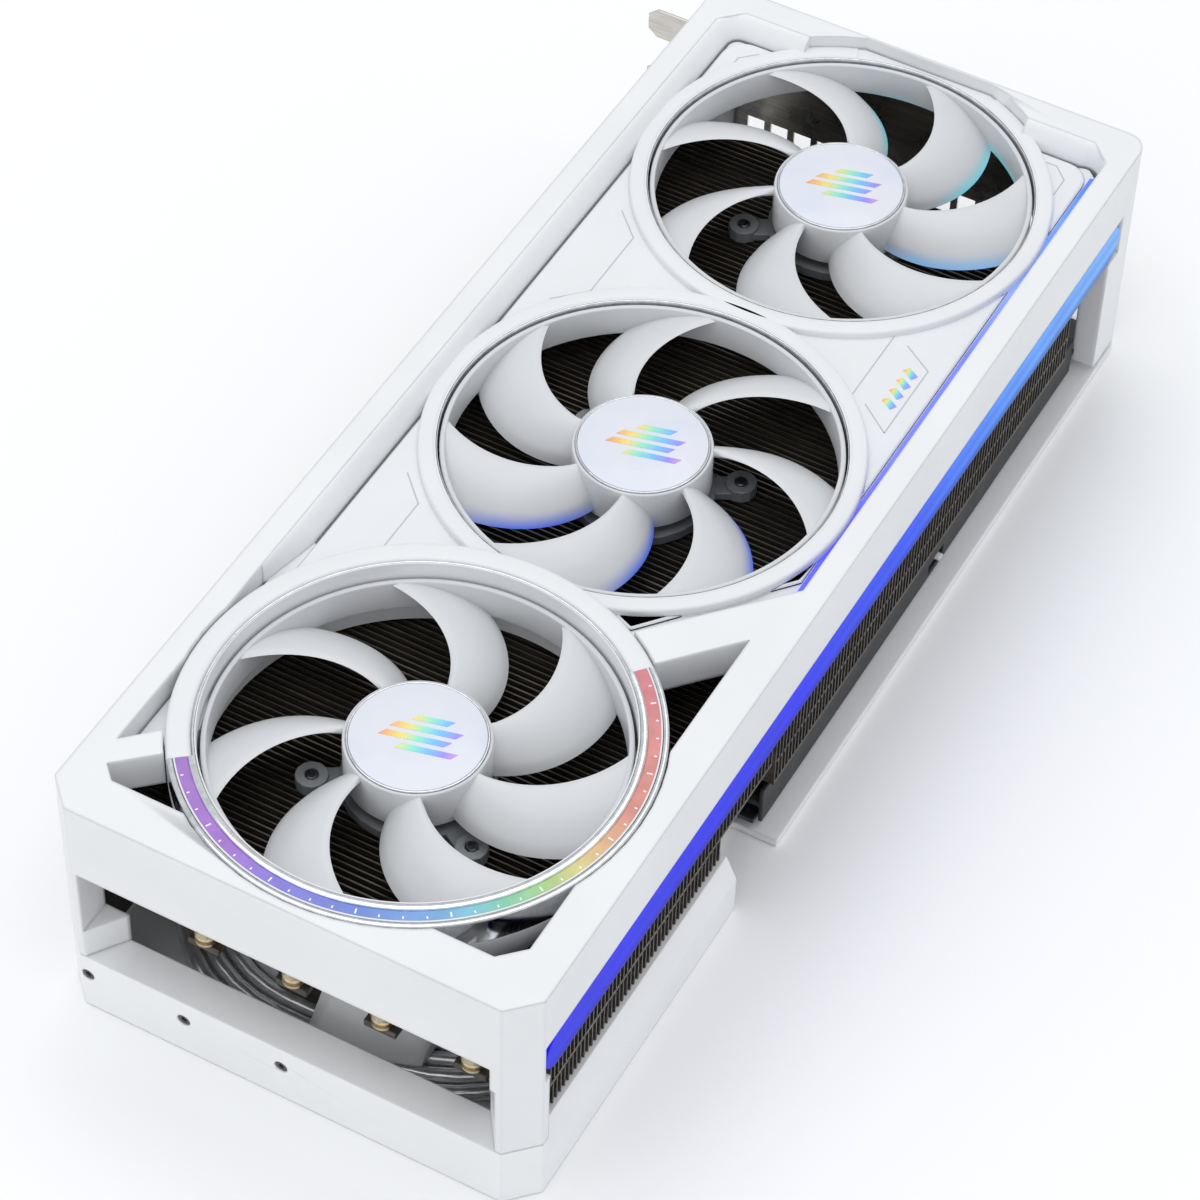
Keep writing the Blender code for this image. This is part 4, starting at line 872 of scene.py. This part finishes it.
def front_fan(number):
    """One of the three fans on the front: blades, ring, hub cap, badge with its rim, and ornament."""
    x = FAN_X[number]
    centre = (x, 0.0)
    body = f"fan_{number + 1}"
    # The first two fans' blades carry painted LED light on their low edges.
    if FAN_GLOW_SPOTS[number]:
        plastic = painted_glow_blade_plastic(f"{body}_plastic", FAN_GLOW_SPOTS[number], FAN_GLOWS[number], BLADE_Z[0])
    else:
        plastic = blade_plastic(f"{body}_plastic")
    fan = {"x": x, "root": 17.8, "tip": 51.6, "turn": FAN_TURN[number], "phase": FAN_PHASE[number],
           "z": BLADE_Z, "chord": BLADE_CHORD, "count": BLADES, "camber": 1.6, "face": 1, "thick": 1.4}
    blades(f"{body}_blades", fan, plastic, body, "fan_blades")
    ring = rounded(51.0, 52.4, 63.2, 72.4, 0.5)
    swept_ring(f"{body}_ring", ring, centre, plastic, body=body, slot="fan_blades")
    hub = [(0.0, 72.3), (17.5, 72.3), (17.55, 72.9), (17.8, 73.1), (18.2, 72.8), (18.4, 72.2),
           (18.4, 61.2), (16.6, 61.2), (16.6, 69.0), (0.0, 69.0)]
    turned(f"{body}_hub", hub, centre, HUB, body=body, slot="fan_blades", replaces=(f"{body}_rotor",))
    badge = [(0.0, 73.62), (8.0, 73.6), (16.2, 73.52), (16.9, 73.3), (17.0, 72.5), (0.0, 72.5)]
    turned(f"{body}_badge_foil", badge, centre, PEARL, body=body, slot="hub_badge",
           replaces=(f"{body}_badge",))
    rim = rounded(17.0, 17.45, 72.4, 73.35, 0.15)
    swept_ring(f"{body}_badge_rim", rim, centre, CHROME, body=body, slot="chrome_trim")
    hub_ornament(body, x)


def hub_ornament(body, x):
    """Plain ornament: slanted foil bars of stepped length on the hub badge."""
    turn = math.radians(HUB_TURN)
    along = Vector((math.cos(turn), math.sin(turn)))
    side = Vector((-along.y, along.x))
    bars = ((5.4, -3.0, 6.0), (2.2, -7.5, 9.0), (-1.0, -9.5, 7.0), (-4.2, -4.5, 9.5))
    verts, faces = [], []
    for across, low, high in bars:
        base = len(verts)
        for z in (73.5, 73.69):
            for u, v in ((low, -0.9), (high, -0.9), (high + 1.6, 0.9), (low + 1.6, 0.9)):
                point = along * u + side * (across + v)
                verts.append((x + point.x, point.y, z))
        faces += [tuple(base + i for i in face) for face in BOX_FACES]
    made(f"{body}_ornament", verts, faces, FOIL, "hub_badge", body)


def rear_fan():
    """Small fan under the tail, facing down."""
    body = "rear_fan"
    centre = (REAR_X, 0.0)
    plastic = blade_plastic("rear_fan_plastic")
    fan = {"x": REAR_X, "root": 15.0, "tip": 37.4, "turn": -1, "phase": 20.0, "z": REAR_BLADE_Z,
           "chord": 26.0, "count": 9, "camber": 1.4, "face": -1, "thick": 1.3}
    blades("rear_fan_blades", fan, plastic, body, "rear_blades")
    ring = rounded(36.7, 38.0, 5.2, 16.4, 0.4)
    swept_ring("rear_fan_ring", ring, centre, plastic, body=body, slot="rear_blades")
    hub = [(0.0, 6.5), (13.7, 6.5), (13.7, 16.9), (15.5, 16.9), (15.5, 4.0), (15.0, 3.45), (13.5, 3.4),
           (13.5, 4.7), (0.0, 4.7)]
    turned("rear_fan_hub", hub, centre, HUB, body=body, slot="rear_blades", replaces=("rear_fan_rotor",))


# ---------------------------------------------------------------- lights

def lights_on_card():
    """The side bar, and the light guide inside the rail with its thin lit flange."""
    refined("light_bar", BAR_LENS, 0.5, 3)
    refined("rail_light", RAIL_LENS, 0.2, 2)
    start, end = RAIL_LIGHT_X
    strip = ((start, 56.95, 70.45), (end, 58.1, 71.0))
    soften(boxes("rail_light_flange", [strip], RAIL_LENS, "rail_light"), 0.15, 2)


# ---------------------------------------------------------------- cooler

def fin_places(x0, x1, thick=0.0):
    """Near edges of fins spread evenly over a length that the last one ends with."""
    count = int((x1 - x0) / FIN_PITCH)
    return [x0 + (x1 - x0 - thick) * i / count for i in range(count + 1)]


def fins(name, node, x0, x1, low):
    """Close-set sheet fins over a thin base, with two rows of folded tabs on each side."""
    spans = [((x0, -FIN_HALF, low), (x1, FIN_HALF, low + 1.2))]
    places = fin_places(x0, x1, FIN_THICK)
    reach = (places[1] - places[0] - FIN_THICK) * 0.55
    for x in places:
        fold = x + FIN_THICK
        spans.append(((x, -FIN_HALF, low + 1.0), (fold, FIN_HALF, FIN_TOP)))
        if x == places[-1]:
            break
        for y in (-FIN_HALF, FIN_HALF - 0.35):
            for z in (low + 8.0, FIN_TOP - 9.0):
                spans.append(((fold, y, z), (fold + reach, y + 0.35, z + FOLD_HEIGHT)))
    boxes(name, spans, FINS, "dark_fins", (node,))


def fin_skirts():
    """Rows of low fins under the tail's two long sides, each row on a thin strip."""
    start, end = SKIRT_X
    places = fin_places(start, end)
    rows = (-FIN_HALF, FIN_HALF - 1.0)
    skirt = [((x, y, 10.4), (x + FIN_THICK, y + 1.0, SKIRT_TOP)) for x in places for y in rows]
    skirt += [((start, y, 10.0), (end + 0.4, y + 0.2, SKIRT_TOP)) for y in (-62.0, 61.8)]
    boxes("fin_skirts", skirt, FINS, "dark_fins")


def cooler():
    """Fin stacks with their skirts and tabs, pipes, cold plate, frame and rear duct."""
    fins("fin_sheets_main", "fin_stack_main", *span("fin_stack_main", X), FIN_LOW)
    fin_skirts()
    fins("fin_sheets_tail", "fin_stack_tail", *TAIL_FIN_X, TAIL_FIN_LOW)
    tabs = [((154.0, y - 4.5, 29.2), (162.6, y + 4.5, 31.5)) for y in SCREW_Y]
    tabs.append(((148.8, -17.0, 8.4), (150.4, -4.0, 28.4)))
    soften(boxes("fin_tabs", tabs, FINS, "dark_fins"), 0.4, 2)
    for k in range(1, 4):
        refined(f"heat_pipe_{k}", PIPE, angle=60.0)
    refined("cold_plate", NICKEL, 0.3, 2)
    refined("mid_frame", BLACK, 0.3, 2)
    refined("rear_fan_duct", DUCT)


# ---------------------------------------------------------------- small metal and electronics

def brass_screws():
    """Brass screws of the tail's tabs: a head with a groove round it and a recess in its top."""
    section = [(0.0, 2.6), (0.9, 2.6), (1.0, 3.5), (1.9, 3.6), (2.9, 2.9), (3.0, 2.2),
               (2.3, 1.9), (2.3, 0.9), (3.0, 0.8), (3.0, 0.0), (0.0, 0.0)]
    profile = [(radius, SCREW_FOOT + height) for radius, height in section]
    for k, y in enumerate(SCREW_Y, 1):
        turned(f"brass_screw_{k}_look", profile, (SCREW_X, y), BRASS, 48, slot="brass",
               replaces=(f"brass_screw_{k}",))


def motor_screws():
    """Small screws with a round recess on the three ears of each front fan's motor base."""
    radius, height, foot, reach = 1.7, 0.9, 58.6, 26.0
    profile = [(0.0, foot + height * 0.4), (radius * 0.5, foot + height * 0.4),
               (radius * 0.52, foot + height * 0.97), (radius * 0.8, foot + height),
               (radius, foot + height * 0.7), (radius, foot), (0.0, foot)]
    for number, turn in enumerate(FAN_TURN):
        first = 120.0 if turn < 0 else -60.0
        for k in range(3):
            angle = math.radians(first + 120.0 * k)
            place = (FAN_X[number] + reach * math.cos(angle), reach * math.sin(angle))
            name = f"motor_screw_{number + 1}_{k + 1}"
            turned(name, profile, place, DARK_STEEL, 48, slot="dark_screw")


def board_parts():
    """Small soldered blocks on the free strips of the board."""
    place = random.Random(11)
    board_top = 6.6
    sizes = ((1.6, 0.8, 0.6), (2.0, 1.2, 0.8), (3.2, 1.6, 0.9))
    spans, count = [], 170
    for _ in range(count):
        x = place.uniform(-150.0, 30.0)
        y = place.choice((-1, 1)) * place.uniform(47.0, 57.0)
        long, wide, tall = place.choice(sizes)
        spans.append(((x, y, board_top), (x + long, y + wide, board_top + tall)))
    soften(boxes("board_parts", spans, GREY, "package"), 0.1, 1)


def electronics():
    """Board, sockets, switch, bracket, motors and the other small pieces kept as the CAD has them."""
    refined("circuit_board", BOARD, 0.15, 2)
    refined("edge_contacts", GOLD)
    refined("processor_package", LAMINATE, 0.2, 2)
    refined("power_socket", BLACK, 0.15, 2)
    refined("mode_switch_body", BLACK, 0.1, 2)
    refined("mode_switch_lever", WHITE, 0.15, 2, body="mode_lever")
    refined("io_bracket", STEEL, 0.2, 2)
    for k in range(1, 6):
        refined(f"video_socket_{k}", NICKEL, 0.15, 2)
    refined("light_bar_board", BLACK, 0.1, 2)
    for k in range(1, 4):
        refined(f"tray_screw_{k}", DARK_STEEL, 0.15, 2)
        refined(f"fan_{k}_motor_base", GREY, 0.25, 2)
        refined(f"fan_{k}_stator", COPPER, 0.2, 2)
        refined(f"fan_{k}_shaft", NICKEL, body=f"fan_{k}")
    refined("rear_fan_stator", COPPER, 0.2, 2)
    refined("rear_fan_shaft", NICKEL, body="rear_fan")
    refined("rear_fan_badge", PEARL, 0.2, 2, body="rear_fan")


# ---------------------------------------------------------------- stage

def paper():
    """Plain white paper with a faint tooth."""
    material, tree, shader = new_material("floor_paper")
    shader.inputs["Base Color"].default_value = (0.96, 0.962, 0.965, 1.0)
    shader.inputs["Roughness"].default_value = 0.85
    add_bump(tree, shader, noise(tree, object_coords(tree), 900.0), 0.2, 0.02)
    return material


def floor():
    mesh = bpy.data.meshes.new("floor")
    half = 6.0
    corners = [(-half, -half, 0.0), (half, -half, 0.0), (half, half, 0.0), (-half, half, 0.0)]
    mesh.from_pydata(corners, [], [(0, 1, 2, 3)])
    plane = bpy.data.objects.new("floor", mesh)
    plane.location.z = -0.0002
    bpy.context.scene.collection.objects.link(plane)
    mesh.materials.append(paper())


def area_light(name, place, target, size, power):
    data = bpy.data.lights.new(name, "AREA")
    data.shape = "RECTANGLE"
    data.size, data.size_y = size
    data.energy = power
    lamp = bpy.data.objects.new(name, data)
    lamp.location = place
    lamp.rotation_mode = "QUATERNION"
    lamp.rotation_quaternion = (Vector(target) - Vector(place)).to_track_quat("-Z", "Y")
    bpy.context.scene.collection.objects.link(lamp)


def studio():
    """Pale surroundings, one large lamp overhead and two weak ones at the tail and the light bar."""
    bpy.context.scene.view_settings.view_transform = "Standard"
    world = bpy.data.worlds.new("studio")
    bpy.context.scene.world = world
    world.use_nodes = True
    sky = world.node_tree.nodes["Background"]
    sky.inputs["Color"].default_value = (0.95, 0.97, 1.0, 1.0)
    sky.inputs["Strength"].default_value = 0.74
    area_light("overhead", (-0.1, -0.2, 2.2), (0.0, 0.0, 0.0), (2.6, 2.2), 21.0)
    area_light("tail_fill", (1.5, -0.5, 0.6), (0.1, 0.0, 0.03), (1.2, 0.8), 2.2)
    area_light("side_fill", (0.1, 1.5, 0.6), (0.0, 0.0, 0.03), (1.6, 0.8), 1.2)


def camera():
    data = bpy.data.cameras.new("camera")
    data.lens = CAMERA_LENS
    data.clip_start = 0.05
    data.clip_end = 30.0
    eye = bpy.data.objects.new("camera", data)
    eye.location = CAMERA_PLACE
    eye.rotation_euler = Euler([math.radians(value) for value in CAMERA_TURN], "XYZ")
    bpy.context.scene.collection.objects.link(eye)
    bpy.context.scene.camera = eye


casing()
plate_rings()
plate_pads()
plate_seams()
rail_slopes()
tail_collar()
collar_rings()
collar_ticks()
for fan_number in range(len(FAN_X)):
    front_fan(fan_number)
rear_fan()
lights_on_card()
cooler()
brass_screws()
motor_screws()
board_parts()
electronics()
floor()
studio()
camera()
